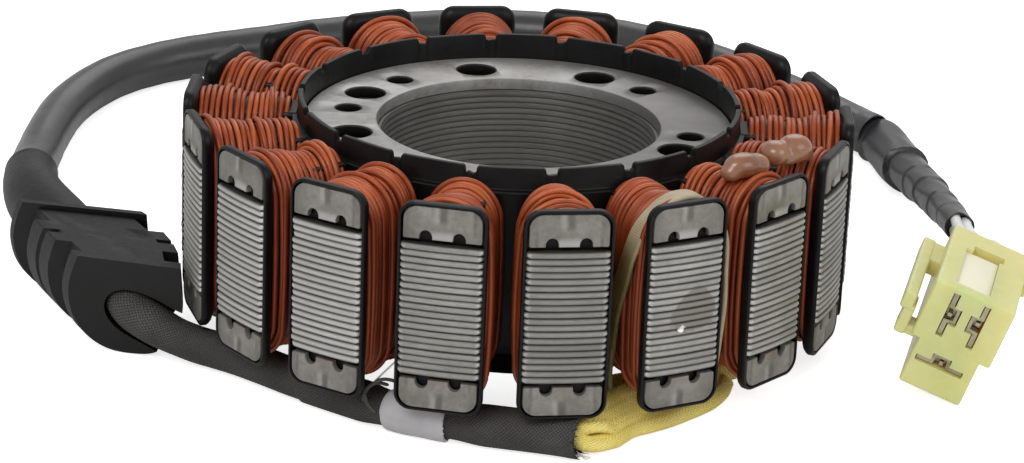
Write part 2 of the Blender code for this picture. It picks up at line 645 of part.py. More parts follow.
def make_grommet(sleeve_points):
    rings = []
    for index, (start, end) in enumerate(GROMMET_LIPS):
        outer_lip = index in (0, len(GROMMET_LIPS) - 1)
        lip_top = GROMMET_TOP if outer_lip else GROMMET_TOP - GROMMET_TOP_STEP
        if index:
            rings.append(grommet_ring(start, GROMMET_GROOVE_DEPTH, GROMMET_TOP - GROMMET_TOP_STEP))
        rings += [grommet_ring(start, 0.0, lip_top), grommet_ring(end, 0.0, lip_top)]
        if index < len(GROMMET_LIPS) - 1:
            rings.append(grommet_ring(end, GROMMET_GROOVE_DEPTH, GROMMET_TOP - GROMMET_TOP_STEP))
    grommet = add_part("grommet", loft_mesh("grommet", rings), RUBBER)
    mouth = sleeve_points[0] + (sleeve_points[0] - sleeve_points[1]).normalized() * 2.0 * GAP
    curve = tube_curve("sleeve_pocket", [mouth] + sleeve_points[1:], SLEEVE_GROMMET_RADIUS + 2.0 * GAP, 3)
    obj = bpy.data.objects.new("sleeve_pocket", curve)
    bpy.context.scene.collection.objects.link(obj)
    pocket = add_cutter("sleeve_pocket", curve_to_mesh(obj, "sleeve_pocket"))
    boolean(grommet, "DIFFERENCE", cutter=pocket)


def make_boot_and_sheath():
    knots = [Vector(point) * MM for point in BOOT_ROUTE]
    add_tube("cable_boot", knots, list(BOOT_RADII), RUBBER, 4)
    add_tube("sheath_tube", spline_points(SHEATH_ROUTE, 9.5 * MM), SHEATH_RADIUS, SHEATH, 4)


def make_tape():
    points = spline_points(TAPE_ROUTE, 0.8 * MM)
    last = len(points) - 1
    steps = [(round(share * last), radius) for share, radius in TAPE_STEPS]
    picks = sorted({index for index, _ in steps} | {round(last * i / 6) for i in range(7)})
    shares = [index / last for index in picks]
    radii = []
    for share in shares:
        for (s0, r0), (s1, r1) in zip(TAPE_STEPS, TAPE_STEPS[1:]):
            if s0 <= share <= s1 + 1e-6 or (s0, r0) == TAPE_STEPS[-2]:
                radii.append(r0 + (r1 - r0) * min(1.0, (share - s0) / (s1 - s0)))
                break
    add_tube("tape_wrap", [points[index] for index in picks], radii, TAPE, 3)


def plug_matrix():
    yaw = Matrix.Rotation(math.radians(PLUG_YAW_DEG), 4, "Z")
    roll = Matrix.Rotation(math.radians(PLUG_ROLL_DEG), 4, "Y")
    return Matrix.Translation(PLUG_FACE) @ yaw @ roll


def make_wires(plug):
    """Three insulated wires from the end of the tape to the back of the plug."""
    start = Vector(TAPE_ROUTE[-1]) * MM + Vector((0.0, -3.0 * GAP, 0.0))
    back = {"wire_a": (-2.3 * MM, 2.1 * MM), "wire_b": (2.4 * MM, 2.1 * MM), "wire_c": (-0.5 * MM, -3.2 * MM)}
    fan = 1.4 * MM
    for name, (x, z) in back.items():
        end = plug @ Vector((x, PLUG_LENGTH + GAP, z))
        turn = math.atan2(z, x) - math.radians(PLUG_ROLL_DEG)
        first = start + Vector((fan * math.cos(turn), 0.0, fan * math.sin(turn)))
        leave = first + Vector((0.0, -6.0 * MM, 0.0))
        arrive = plug @ Vector((x, PLUG_LENGTH + 6.0 * MM, z))
        points = [first, first.lerp(leave, 0.5), leave.lerp(arrive, 0.2), leave.lerp(arrive, 0.5),
                  leave.lerp(arrive, 0.8), arrive.lerp(end, 0.5), end]
        add_tube(name, points, WIRE_RADIUS, WIRE_WHITE, 2)


def blade_outline(extra=0.0):
    """A terminal seen end on: a flat blade with a folded rib in its middle."""
    half, thin, rib, rib_depth = 4.0 * MM + extra, 0.4 * MM + extra, 1.2 * MM + extra, 1.8 * MM + extra
    return [(-half, -thin), (half, -thin), (half, thin), (rib, thin), (rib, rib_depth), (-rib, rib_depth),
            (-rib, thin), (-half, thin)]


def blade_mesh(name, front, length, extra=0.0):
    """The outline stands across the plug and runs back along its y."""
    mesh = outline_mesh(name, [blade_outline(extra)], 0.0, length)
    mesh.transform(Matrix.Translation((0.0, front, 0.0)) @ Matrix.Rotation(math.radians(-90.0), 4, "X"))
    return mesh


def make_plug(plug):
    bm = bmesh.new()
    bmesh.ops.create_cube(bm, size=2.0)
    for vert in bm.verts:
        back = 1 if vert.co.y > 0 else 0
        vert.co.x *= PLUG_HALF_WIDTHS[back]
        vert.co.z *= PLUG_HALF_HEIGHTS[back]
        vert.co.y = PLUG_LENGTH * back
    housing = add_part("connector_housing", finish_mesh(bm, "connector_housing"), NYLON, None, plug)

    added, removed = new_collection("plug_added"), new_collection("plug_removed")
    overlap = 1.0 * MM
    key = box_mesh("key_block", (KEY_SPAN[0], 0.0, KEY_FOOT),
                   (KEY_SPAN[1], KEY_LENGTH, -PLUG_HALF_HEIGHTS[0] + overlap))
    arm = box_mesh("latch_arm", (ARM_OUTER, ARM_FRONT, ARM_SPAN[0]), (ARM_INNER, PLUG_LENGTH - 0.2 * MM, ARM_SPAN[1]))
    foot = box_mesh("latch_foot", (-10.3 * MM, 0.8 * MM, -6.8 * MM), (-8.3 * MM, 6.0 * MM, -1.2 * MM))
    toe = box_mesh("latch_toe", (-9.6 * MM, 1.2 * MM, -6.7 * MM), (-6.4 * MM, 5.4 * MM, -4.9 * MM))
    bridge = box_mesh("latch_bridge", (-10.4 * MM, 16.6 * MM, -1.9 * MM), (-6.6 * MM, PLUG_LENGTH - 0.5 * MM, 1.1 * MM))
    lug = box_mesh("side_lug", (6.6 * MM, 13.8 * MM, 2.6 * MM), (8.3 * MM, 18.8 * MM, 5.2 * MM))
    for name, mesh in (("key_block", key), ("latch_arm", arm), ("latch_foot", foot), ("latch_toe", toe),
                       ("latch_bridge", bridge), ("side_lug", lug)):
        add_cutter(name, mesh, None, plug, added)
    window = box_mesh("latch_window", (-3.95 * MM, 2.1 * MM, 5.05 * MM), (2.25 * MM, 17.0 * MM, 7.0 * MM))
    add_cutter("latch_window", window, None, plug, removed)
    for name, (x, z, turn_deg) in BLADES.items():
        place = plug @ Matrix.Translation((x, 0.0, z)) @ Matrix.Rotation(math.radians(turn_deg), 4, "Y")
        slot = blade_mesh(name + "_slot", -1.0 * MM, SLOT_DEPTH + 1.0 * MM, 1.2 * GAP)
        add_cutter(name + "_slot", slot, None, place, removed)
        add_part(name, blade_mesh(name, BLADE_RECESS, BLADE_LENGTH), BRASS, None, place)
    boolean(housing, "UNION", group=added)
    boolean(housing, "DIFFERENCE", group=removed)


def stator_frame():
    """An empty at the stator's centre, leaning so that one pole's rim touches the floor."""
    towards = math.radians(LEAN_TOWARDS_DEG)
    lean = math.radians(LEAN_DEG)
    height = FLANGE_HALF_HEIGHT * math.cos(lean) + FLANGE_FRONT * math.sin(lean)
    empty = bpy.data.objects.new("stator_lean", None)
    parts.objects.link(empty)
    empty.location = (0.0, 0.0, height)
    empty.rotation_mode = "QUATERNION"
    empty.rotation_quaternion = Quaternion((-math.sin(towards), math.cos(towards), 0.0), lean)
    return empty


clear_scene()
parts = new_collection("wound_stator")
cutters = new_collection("cutters")

stator_empty = stator_frame()
make_stack(stator_empty)
make_end_plate("end_plate_top", stator_empty, 1)
make_end_plate("end_plate_bottom", stator_empty, -1)
make_insulator(stator_empty)
make_coils(stator_empty)
make_strap(stator_empty)
make_resin_caps(stator_empty)
make_sleeve_and_band()
make_phase_sleeves()
make_grommet(spline_points(SLEEVE_ROUTE, SLEEVE_SPACING)[:6])
make_boot_and_sheath()
make_tape()
plug_pose = plug_matrix()
make_wires(plug_pose)
make_plug(plug_pose)
bpy.context.view_layer.update()
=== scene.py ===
import math

import bpy
import numpy as np
from mathutils import Matrix, Vector


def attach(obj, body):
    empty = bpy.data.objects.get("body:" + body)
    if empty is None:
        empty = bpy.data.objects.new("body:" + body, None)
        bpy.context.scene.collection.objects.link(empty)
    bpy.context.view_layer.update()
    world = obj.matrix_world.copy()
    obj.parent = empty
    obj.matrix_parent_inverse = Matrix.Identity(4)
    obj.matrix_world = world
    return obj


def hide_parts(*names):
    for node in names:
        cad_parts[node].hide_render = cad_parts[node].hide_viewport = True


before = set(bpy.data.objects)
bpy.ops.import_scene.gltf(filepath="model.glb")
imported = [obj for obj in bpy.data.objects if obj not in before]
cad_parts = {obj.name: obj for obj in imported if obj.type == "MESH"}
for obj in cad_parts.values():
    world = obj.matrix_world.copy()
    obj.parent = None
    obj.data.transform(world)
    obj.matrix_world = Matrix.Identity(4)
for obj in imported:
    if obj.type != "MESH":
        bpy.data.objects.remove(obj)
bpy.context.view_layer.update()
print("frame loaded")

mm = 0.001
shuffle = np.random.default_rng(20)


# meshes worked out as grids

class Shell:
    # gathers closed grids of points into one mesh; a grid's rows run along it and its columns round it
    def __init__(self):
        self.points, self.quads, self.quadUvs, self.caps, self.count = [], [], [], [], 0

    def add(self, points, uv=None, wrapRows=False):
        rows, columns = points.shape[:2]
        i, j = np.meshgrid(np.arange(rows if wrapRows else rows - 1), np.arange(columns), indexing="ij")
        i = np.stack([i, i + 1, i + 1, i], -1).reshape(-1, 4)
        j = np.stack([j, j, j + 1, j + 1], -1).reshape(-1, 4)
        quads = (i % rows) * columns + j % columns
        if uv is None:
            uv = np.zeros((rows + 1, columns + 1, 2))
        quadUvs = uv[np.minimum(i, uv.shape[0] - 1), np.minimum(j, uv.shape[1] - 1)]
        caps = [] if wrapRows else [np.arange(columns), np.arange(columns)[::-1] + (rows - 1) * columns]
        flat = points.reshape(-1, 3)
        middle = flat.mean(0)
        a, b, c, d = (flat[quads[:, k]] - middle for k in range(4))
        volume = np.einsum("ij,ij->i", a, np.cross(b, c) + np.cross(c, d)).sum()
        for cap in caps:
            ring = flat[cap] - middle
            volume += (np.cross(ring[1:-1], ring[2:]) @ ring[0]).sum()
        if volume < 0:
            quads, quadUvs, caps = quads[:, ::-1], quadUvs[:, ::-1], [cap[::-1] for cap in caps]
        self.points.append(flat)
        self.quads.append(quads + self.count)
        self.quadUvs.append(quadUvs)
        self.caps += [cap + self.count for cap in caps]
        self.count += len(flat)
        return self

    def mesh(self, name, sharpDeg=40.0):
        points, quads = np.concatenate(self.points), np.concatenate(self.quads)
        loops = np.concatenate([quads.ravel()] + self.caps).astype(np.int32)
        totals = np.array([4] * len(quads) + [len(cap) for cap in self.caps], np.int32)
        starts = np.concatenate([[0], np.cumsum(totals)[:-1]]).astype(np.int32)
        mesh = bpy.data.meshes.new(name)
        mesh.vertices.add(len(points))
        mesh.vertices.foreach_set("co", points.astype(np.float32).ravel())
        mesh.loops.add(len(loops))
        mesh.loops.foreach_set("vertex_index", loops)
        mesh.polygons.add(len(totals))
        mesh.polygons.foreach_set("loop_start", starts)
        mesh.polygons.foreach_set("loop_total", totals)
        uvs = np.concatenate([np.concatenate(self.quadUvs).reshape(-1, 2),
                              np.zeros((len(loops) - 4 * len(quads), 2))])
        mesh.uv_layers.new(name="surface").data.foreach_set("uv", uvs.astype(np.float32).ravel())
        mesh.update(calc_edges=True)
        mesh.validate()
        mesh.shade_smooth()
        mesh.set_sharp_from_angle(angle=math.radians(sharpDeg))
        return mesh


def addPiece(name, mesh, finish, slotName, *nodes):
    piece = bpy.data.objects.new(name, mesh)
    bpy.context.scene.collection.objects.link(piece)
    if finish:
        mesh.materials.append(finish)
    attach(piece, "root")
    if nodes:
        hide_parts(*nodes)
    return piece


def tubeUv(columns, lengths):
    # u goes once round the tube, v is the distance along it in metres
    u, v = np.meshgrid(np.linspace(0.0, 1.0, columns + 1), lengths)
    return np.stack([u, v], -1)


def splineThrough(knots, steps):
    # Catmull-Rom curve from the second point to the last but one, with equal steps between two points
    t = (np.arange(steps) / steps)[None, :, None]
    p0, p1, p2, p3 = (knots[k:len(knots) - 3 + k][:, None, :] for k in range(4))
    fine = 0.5 * (2 * p1 + (p2 - p0) * t + (2 * p0 - 5 * p1 + 4 * p2 - p3) * t ** 2
                  + (3 * p1 - p0 - 3 * p2 + p3) * t ** 3)
    return np.concatenate([fine.reshape(-1, knots.shape[1]), knots[-2:-1]])


def unit(vectors):
    return vectors / np.linalg.norm(vectors, axis=-1, keepdims=True)


def routeLine(route, spacing):
    # a curve through the route's points in millimetres, resampled at even steps, and the length up to each
    knots = np.array(route, float) * mm
    fine = splineThrough(np.concatenate([[2 * knots[0] - knots[1]], knots, [2 * knots[-1] - knots[-2]]]), 24)
    lengths = np.concatenate([[0.0], np.cumsum(np.linalg.norm(np.diff(fine, axis=0), axis=1))])
    targets = np.linspace(0.0, lengths[-1], max(3, int(round(lengths[-1] / spacing)) + 1))
    return np.stack([np.interp(targets, lengths, fine[:, k]) for k in range(3)], 1), targets


def acrossRoute(line):
    # sideways and upward unit vectors at every point of a line
    forward = unit(np.gradient(line, axis=0))
    side = unit(np.cross(forward, (0.0, 0.0, 1.0)))
    return side, np.cross(side, forward), forward


def tubeGrid(line, radius, sides, lift=None):
    # circles of the given radius across the line; lift adds a height for every point of the grid
    side, up, _ = acrossRoute(line)
    turn = np.linspace(0.0, 2 * math.pi, sides, endpoint=False)
    reach = np.broadcast_to(np.asarray(radius, float).reshape(-1, 1), (len(line), sides))
    if lift is not None:
        reach = reach + lift
    outward = np.cos(turn)[None, :, None] * side[:, None, :] + np.sin(turn)[None, :, None] * up[:, None, :]
    return line[:, None, :] + reach[..., None] * outward


def innerRings(line, end, steps):
    # rings that turn inwards at a tube's open end: each a share of its radius, so far back in mm
    axis, forward = line[-1], acrossRoute(line)[2][-1]
    return np.array([axis + (end - axis) * share - forward * back * mm for share, back in steps])


def angleFrom(turn, middle):
    # how far an angle lies from another one, between minus and plus half a turn
    return np.angle(np.exp(1j * (turn - middle)))


def smoothStep(low, high, value):
    # 0 up to the low value, 1 from the high one on, and a soft S between them
    share = np.clip((value - low) / (high - low), 0.0, 1.0)
    return share * share * (3 - 2 * share)


def roundedLoop(halfWidth, halfHeight, corner, steps=8):
    # a rectangle with four quarter-circle corners, anticlockwise from its right side
    quarter = np.linspace(0.0, math.pi / 2, steps)
    loop = []
    for k, (sx, sy) in enumerate(((1, 1), (-1, 1), (-1, -1), (1, -1))):
        angle = quarter + k * math.pi / 2
        loop.append(np.stack([sx * (halfWidth - corner) + corner * np.cos(angle),
                              sy * (halfHeight - corner) + corner * np.sin(angle)], -1))
    return np.concatenate(loop)


# materials

class Link:
    # one socket of a material; the operators add Math nodes
    def __init__(self, finish, socket):
        self.finish, self.socket = finish, socket

    def math(self, operation, *others):
        return self.finish.node("ShaderNodeMath", {"operation": operation}, [self, *others])

    def __add__(self, other):
        return self.math("ADD", other)

    def __sub__(self, other):
        return self.math("SUBTRACT", other)

    def __rsub__(self, other):
        return self.finish.node("ShaderNodeMath", {"operation": "SUBTRACT"}, [other, self])

    def __mul__(self, other):
        return self.math("MULTIPLY", other)

    def __truediv__(self, other):
        return self.math("DIVIDE", other)

    def __pow__(self, other):
        return self.math("POWER", other)

    __radd__, __rmul__ = __add__, __mul__

    def sin(self):
        return self.math("SINE")

    def fract(self):
        return self.math("FRACT")

    def floor(self):
        return self.math("FLOOR")

    def size(self):
        return self.math("ABSOLUTE")

    def less(self, other):
        return self.math("LESS_THAN", other)

    def higher(self, other):
        return self.math("MAXIMUM", other)

    def ramp(self, low, high):
        settings = {"interpolation_type": "SMOOTHSTEP"}
        return self.finish.node("ShaderNodeMapRange", settings, [self, low, high, 0.0, 1.0])


class Finish:
    # a Principled material and the nodes that feed it
    def __init__(self, name, **sockets):
        self.material = bpy.data.materials.new(name)
        self.material.use_nodes = True
        self.tree = self.material.node_tree
        self.shader = self.tree.nodes["Principled BSDF"]
        self.set(**sockets)

    def node(self, kind, settings=None, inputs=(), output=0):
        made = self.tree.nodes.new(kind)
        for key, value in (settings or {}).items():
            if key == "stops":
                while len(made.color_ramp.elements) < len(value):
                    made.color_ramp.elements.new(0.5)
                for element, (place, colour) in zip(made.color_ramp.elements, value):
                    element.position, element.color = place, (*colour, 1.0)
            else:
                setattr(made, key, value)
        pairs = inputs.items() if isinstance(inputs, dict) else enumerate(inputs)
        for key, value in pairs:
            self.feed(made.inputs[key], value)
        return Link(self, made.outputs[output])

    def feed(self, socket, value):
        if isinstance(value, Link):
            self.tree.links.new(value.socket, socket)
        elif isinstance(value, tuple) and len(value) == 3 and socket.type == "RGBA":
            socket.default_value = (*value, 1.0)
        else:
            socket.default_value = value

    def set(self, **sockets):
        for key, value in sockets.items():
            socket = next(entry for entry in self.shader.inputs
                          if entry.name.replace(" ", "").lower() == key.lower())
            self.feed(socket, value)
        return self

    def place(self):
        return self.node("ShaderNodeTexCoord", output="Object")

    def surface(self):
        uv = self.node("ShaderNodeUVMap", {"uv_map": "surface"})
        return tuple(self.node("ShaderNodeSeparateXYZ", None, [uv], output) for output in (0, 1))

    def noise(self, scale, detail=2.0, roughness=0.5, at=None, stretch=None):
        at = at or self.place()
        if stretch:
            at = self.node("ShaderNodeMapping", None, {"Vector": at, "Scale": stretch})
        sockets = {"Vector": at, "Scale": scale, "Detail": detail, "Roughness": roughness}
        return self.node("ShaderNodeTexNoise", None, sockets)

    def mix(self, share, first, second):
        return self.node("ShaderNodeMix", {"data_type": "RGBA"}, {0: share, 6: first, 7: second}, 2)

    def colours(self, value, *stops):
        return self.node("ShaderNodeValToRGB", {"stops": stops}, [value])

    def bump(self, height, distance, strength=1.0):
        sockets = {"Height": height, "Distance": distance, "Strength": strength}
        self.feed(self.shader.inputs["Normal"], self.node("ShaderNodeBump", None, sockets))
        return self


def plateSteelFinish():
    # dull zinc on punched sheet: broad cloudy stains, fine rolling scratches, a few dark specks and painted
    # shade
    f = Finish("plateSteel", metallic=0.55)
    cloud, grain = f.noise(90, 4, 0.6), f.noise(900, 3, 0.7)
    specks = f.noise(520, 2, 0.5).ramp(0.66, 0.72)
    base = f.colours(cloud * 0.75 + grain * 0.25, (0.3, (0.20, 0.19, 0.175)), (0.5, (0.34, 0.33, 0.315)),
                     (0.68, (0.46, 0.45, 0.435)))
    # painted shade: the plate grows darker towards its right side, which takes less light
    east = f.node("ShaderNodeSeparateXYZ", None, [f.place()], 0)
    base = f.mix(east.ramp(-0.004, 0.036) * 0.74, base, (0.10, 0.093, 0.088))
    base = f.mix(specks * 0.5, base, (0.2, 0.17, 0.13))
    # painted shade: the walls of the holes are painted near black
    inHole = f.surface()[1].less(holes["uvMark"] * 0.5)
    f.set(baseColor=f.mix(inHole * 0.96, base, (0.012, 0.010, 0.007)), roughness=grain * 0.25 + 0.32)
    return f.bump(grain * 0.6 + cloud * 0.4, 0.00004).material


def tabFinish():
    # the UV is the place on the tab in metres: a faint crease at the middle, scuffs near the sides, and
    # painted light and shade
    f = Finish("tabSteel", metallic=0.4)
    across, up = f.surface()
    cloud, grain = f.noise(150, 4, 0.65), f.noise(1100, 3, 0.7)
    waver = (f.noise(260, 2) - 0.5) * 0.0006
    height, low = up.size(), up.less(0.0)
    nearTop = height.ramp(0.0142, 0.0158)
    # painted shade in the crease down the middle near the top
    middle = (1.0 - (across + waver * 1.6 - 0.0002).size().ramp(0.0002, 0.0010)) * nearTop
    # painted highlight on the lit side beside the crease
    beside = (1.0 - (across + waver * 1.6 + 0.0010).size().ramp(0.0001, 0.0008)) * nearTop
    fromMiddle = (across + waver).size()
    # painted shade along both sides, wider towards the top
    sides = (fromMiddle + (height - 0.0122) * 0.12).ramp(0.0056, 0.0064)
    scuff = (1.0 - (fromMiddle - 0.0054).size().ramp(0.0, 0.0006)) * cloud.ramp(0.45, 0.6)
    betweenNotches = (1.0 - fromMiddle.ramp(0.0014, 0.0024)) * (1.0 - height.ramp(0.0126, 0.0140))
    base = f.colours(cloud * 0.7 + grain * 0.3, (0.3, (0.125, 0.118, 0.102)), (0.5, (0.205, 0.195, 0.173)),
                     (0.7, (0.30, 0.288, 0.262)))
    # paler between the relief notches near the foot of the upper tabs
    base = f.mix(betweenNotches * (1.0 - low) * 0.6, base, (0.52, 0.51, 0.49))
    # painted reflection: the lower tabs take a pinkish tint of the orange coils between their relief notches
    base = f.mix(betweenNotches * low * 0.7, base, (0.24, 0.185, 0.165))
    base = f.mix(beside * 0.35, base, (0.46, 0.45, 0.42))
    # painted shade in the crease and along the sides, together with real scuffs near the side edges
    paintedShadeAndScuffs = (middle * 0.6 + sides * 0.25 + scuff * 0.5) * (cloud * 1.0 + 0.5)
    f.set(baseColor=f.mix(paintedShadeAndScuffs, base, (0.075, 0.066, 0.055)), roughness=grain * 0.2 + 0.34)
    return f.bump(grain * 0.4 - middle * 0.8 + beside * 0.5, 0.00006).material


def laminationFinish():
    # bare sheet edges: each sheet its own grey, drawn along the rim, with painted shade towards its two
    # faces; u is the place along the rim in metres and v counts the sheets, from a new start on every pole
    f = Finish("laminationSteel", metallic=0.45)
    across, layer = f.surface()
    share = layer.fract()
    tone = f.node("ShaderNodeTexWhiteNoise", {"noise_dimensions": "1D"}, {"W": layer.floor()}, 0)
    cloud = f.noise(110, 3, 0.6)
    drawn = f.noise(700, 3, 0.6, stretch=(1.0, 1.0, 7.0))
    line = ((share - 0.5).size() * 2.0).ramp(0.25, 1.02)
    pole = (layer / stack["uvPerPole"]).floor()
    base = f.colours(cloud * 0.45 + drawn * 0.40 + tone * 0.15, (0.25, (0.215, 0.208, 0.190)),
                     (0.5, (0.35, 0.342, 0.318)), (0.75, (0.50, 0.492, 0.465)))
    inBore = pole.less(0.5)
    # painted shade: poles 4 and 5, and the bore most of all, are darkened where less light reaches them
    shadeOnPolesAndBore = (1.0 - (pole - 4.8).size().ramp(0.1, 1.5)) * 0.42 + inBore * 0.62
    base = f.mix(shadeOnPolesAndBore, base, (0.10, 0.096, 0.082))
    # painted highlight: poles 1 to 3 are lightened on the side the light comes from
    base = f.mix(pole.less(3.5) * (1.0 - inBore) * 0.28, base, (0.72, 0.71, 0.69))
    # painted highlight on the rounded ends of the sheets
    base = f.mix(across.size().ramp(0.0058, 0.0068) * (1.0 - inBore) * 0.45, base, (0.62, 0.62, 0.60))
    # a patch of dried varnish on the front of pole 6, narrower at its top, with a pale fleck at its foot
    sheetPitch = (stack["shoeTop"] + stack["half"]) / stack["sheets"] * mm
    up = (layer - pole * stack["uvPerPole"]) * sheetPitch - stack["half"] * mm
    onSix = 1.0 - (pole - 6.0).size().ramp(0.1, 0.9)
    narrower = (up * 0.24).higher(-0.0009)
    wide = ((across - 0.0018 - up * 0.22) / (0.0042 - narrower * 1.6)) ** 2.0
    tall = ((up + 0.0004) / 0.0044) ** 2.0
    patch = (1.0 - (wide + tall + (f.noise(420, 3, 0.6) - 0.5) * 0.9).ramp(0.75, 1.0)) * onSix
    fromFleck = ((across + 0.0006) ** 2.0 + (up + 0.0036) ** 2.0) ** 0.5
    fleck = 1.0 - (fromFleck + (f.noise(1500, 1) - 0.5) * 0.0006).ramp(0.0004, 0.0007)
    base = f.mix(patch * 0.8, base, (0.20, 0.178, 0.155))
    # painted shade in the grooves between the sheets
    base = f.mix(line * 0.88, base, (0.035, 0.032, 0.027))
    base = f.mix(fleck * onSix, base, (0.80, 0.80, 0.78))
    # painted shade: the walls of the holes are painted near black
    base = f.mix(layer.less(holes["uvMark"] * 0.5) * 0.96, base, (0.012, 0.010, 0.007))
    f.set(baseColor=base, roughness=drawn * 0.3 + 0.30)
    return f.bump(drawn, 0.00004).material


def mouldingFinish():
    # satin black coating: fine orange peel, and soft cloudy patches a little greyer than the rest
    f = Finish("blackMoulding", specularIorLevel=0.20)
    peel, rub = f.noise(700, 2, 0.5), f.noise(130, 4, 0.6)
    f.set(baseColor=f.colours(rub, (0.35, (0.0025, 0.0022, 0.0022)), (0.75, (0.007, 0.0065, 0.0065))),
          roughness=rub * 0.25 + 0.26)
    return f.bump(peel, 0.00005).material


def copperFinish():
    # clear orange enamel over copper, with painted shade on the coil's flanks; u runs once round the turn
    # from the middle of its top, and v is the turn's own tone
    f = Finish("enamelledCopper", metallic=0.12, roughness=0.38, coatWeight=0.12, coatRoughness=0.2,
               specularIorLevel=0.32)
    turn, tone = f.surface()
    cloud = f.noise(160, 3, 0.6)
    base = f.colours(tone * 0.35 + cloud * 0.65, (0.25, (0.22, 0.034, 0.007)), (0.5, (0.36, 0.068, 0.016)),
                     (0.75, (0.50, 0.125, 0.042)))
    flankShade = 1.0 - ((turn * 2.0).fract() - 0.5).size().ramp(0.06, 0.36)
    # painted shade on the flanks of every turn
    return f.set(baseColor=f.mix(flankShade * 0.6, base, (0.12, 0.016, 0.004))).material


def windingCoreFinish():
    # the layers beneath, seen only in the gaps, in a dark red that is painted shade
    f = Finish("windingCore", roughness=0.5)
    base = f.colours(f.noise(900, 1, 0.5), (0.3, (0.022, 0.004, 0.002)), (0.7, (0.06, 0.011, 0.005)))
    return f.set(baseColor=base).material


def resinFinish():
    # glossy cast resin, cloudy and a little waxy
    f = Finish("tanResin", roughness=0.28, coatWeight=0.5, coatRoughness=0.12, subsurfaceWeight=0.15)
    cloud = f.noise(140, 3, 0.5)
    f.set(baseColor=f.colours(cloud, (0.35, (0.19, 0.078, 0.036)), (0.65, (0.29, 0.14, 0.076))))
    return f.bump(cloud, 0.0003, 0.5).material


def braidFinish(name, strand, carriers, slant, dark, middle, light, roughness):
    # strands cross over and under; u counts them round the sleeve, v along it
    f = Finish(name, roughness=roughness)
    around, along = f.surface()
    first, second = around * carriers + along * slant, around * carriers - along * slant
    over = ((first.floor() + second.floor()) * 0.5).fract().less(0.25)
    ridgeOne = 1.0 - ((first.fract() - 0.5) * 2.0) ** 2.0
    ridgeTwo = 1.0 - ((second.fract() - 0.5) * 2.0) ** 2.0
    ridge = over * ridgeOne + (1.0 - over) * ridgeTwo
    threads = (over * (second * strand).sin() + (1.0 - over) * (first * strand).sin()) * 0.5 + 0.5
    cloud = f.noise(170, 3, 0.6)
    base = f.colours(ridge * 0.5 + threads * 0.22 + cloud * 0.4, (0.2, dark), (0.55, middle), (0.9, light))
    f.set(baseColor=base)
    return f.bump(ridge * 0.5 + threads * 0.3, 0.0001).material


def plainFinish(name, dark, light, roughness, grainScale=800, grainDepth=0.00004, **sockets):
    # one colour in soft clouds, with a fine grain
    f = Finish(name, **sockets)
    cloud, grain = f.noise(100, 4, 0.6), f.noise(grainScale, 3, 0.6)
    f.set(baseColor=f.colours(cloud * 0.7 + grain * 0.3, (0.3, dark), (0.7, light)),
          roughness=grain * 0.2 + roughness)
    return f.bump(grain, grainDepth).material


# camera, floor and lights

view = {"place": (-0.66, -524.72, 245.30), "downDeg": 23.66, "lens": 111.04}
light = {"world": 0.62, "white": 1.0, "floorGlow": 0.75, "floorReach": 4.0, "floorHeight": -0.05,
         "lamps": {"keyLight": ((-0.35, -0.75, 0.95), 0.55, 5.0),
                   "fillLight": ((0.75, -0.55, 0.55), 0.6, 2.2),
                   "backLight": ((0.15, 0.80, 0.75), 0.7, 2.5)}}


def setStage():
    scene = bpy.context.scene
    scene.view_settings.view_transform = "Standard"
    camera = bpy.data.objects.new("camera", bpy.data.cameras.new("camera"))
    scene.collection.objects.link(camera)
    camera.location = Vector(view["place"]) * mm
    camera.rotation_euler = (math.radians(90.0 - view["downDeg"]), 0.0, 0.0)
    camera.data.lens, camera.data.sensor_width = view["lens"], 36.0
    camera.data.clip_start, camera.data.clip_end = 0.01, 20.0
    scene.camera = camera

    world = bpy.data.worlds.new("studio")
    scene.world = world
    world.use_nodes = True
    nodes, links = world.node_tree.nodes, world.node_tree.links
    rays, blend = nodes.new("ShaderNodeLightPath"), nodes.new("ShaderNodeMapRange")
    seen = nodes.new("ShaderNodeMath")
    seen.operation, seen.use_clamp = "ADD", True
    links.new(rays.outputs["Is Camera Ray"], seen.inputs[0])
    links.new(rays.outputs["Is Transmission Ray"], seen.inputs[1])
    blend.inputs["To Min"].default_value = light["world"]
    blend.inputs["To Max"].default_value = light["white"]
    links.new(seen.outputs[0], blend.inputs["Value"])
    links.new(blend.outputs[0], nodes["Background"].inputs["Strength"])
    nodes["Background"].inputs["Color"].default_value = (1.0, 1.0, 1.0, 1.0)

    for name, (place, size, power) in light["lamps"].items():
        lamp = bpy.data.lights.new(name, "AREA")
        lamp.size, lamp.energy = size, power
        obj = bpy.data.objects.new(name, lamp)
        scene.collection.objects.link(obj)
        obj.location = place
        obj.rotation_euler = (-Vector(place)).to_track_quat("-Z", "Y").to_euler()

    floor = bpy.data.objects.new("floor", bpy.data.meshes.new("floor"))
    reach, height = light["floorReach"], light["floorHeight"] * mm
    floor.data.from_pydata([(reach * x, reach * y, height) for x, y in ((-1, -1), (1, -1), (1, 1), (-1, 1))],
                           [], [(0, 1, 2, 3)])
    scene.collection.objects.link(floor)
    f = Finish("paleFloor", baseColor=(0.88, 0.88, 0.88), roughness=0.85, specularIorLevel=0.1)
    seen = f.node("ShaderNodeLightPath", None, (), "Is Camera Ray")
    f.set(emissionColor=(1.0, 1.0, 1.0))
    f.feed(f.shader.inputs["Emission Strength"], seen * light["floorGlow"])
    floor.data.materials.append(f.material)


setStage()
print("stage set")


# the stator's own frame and its poles

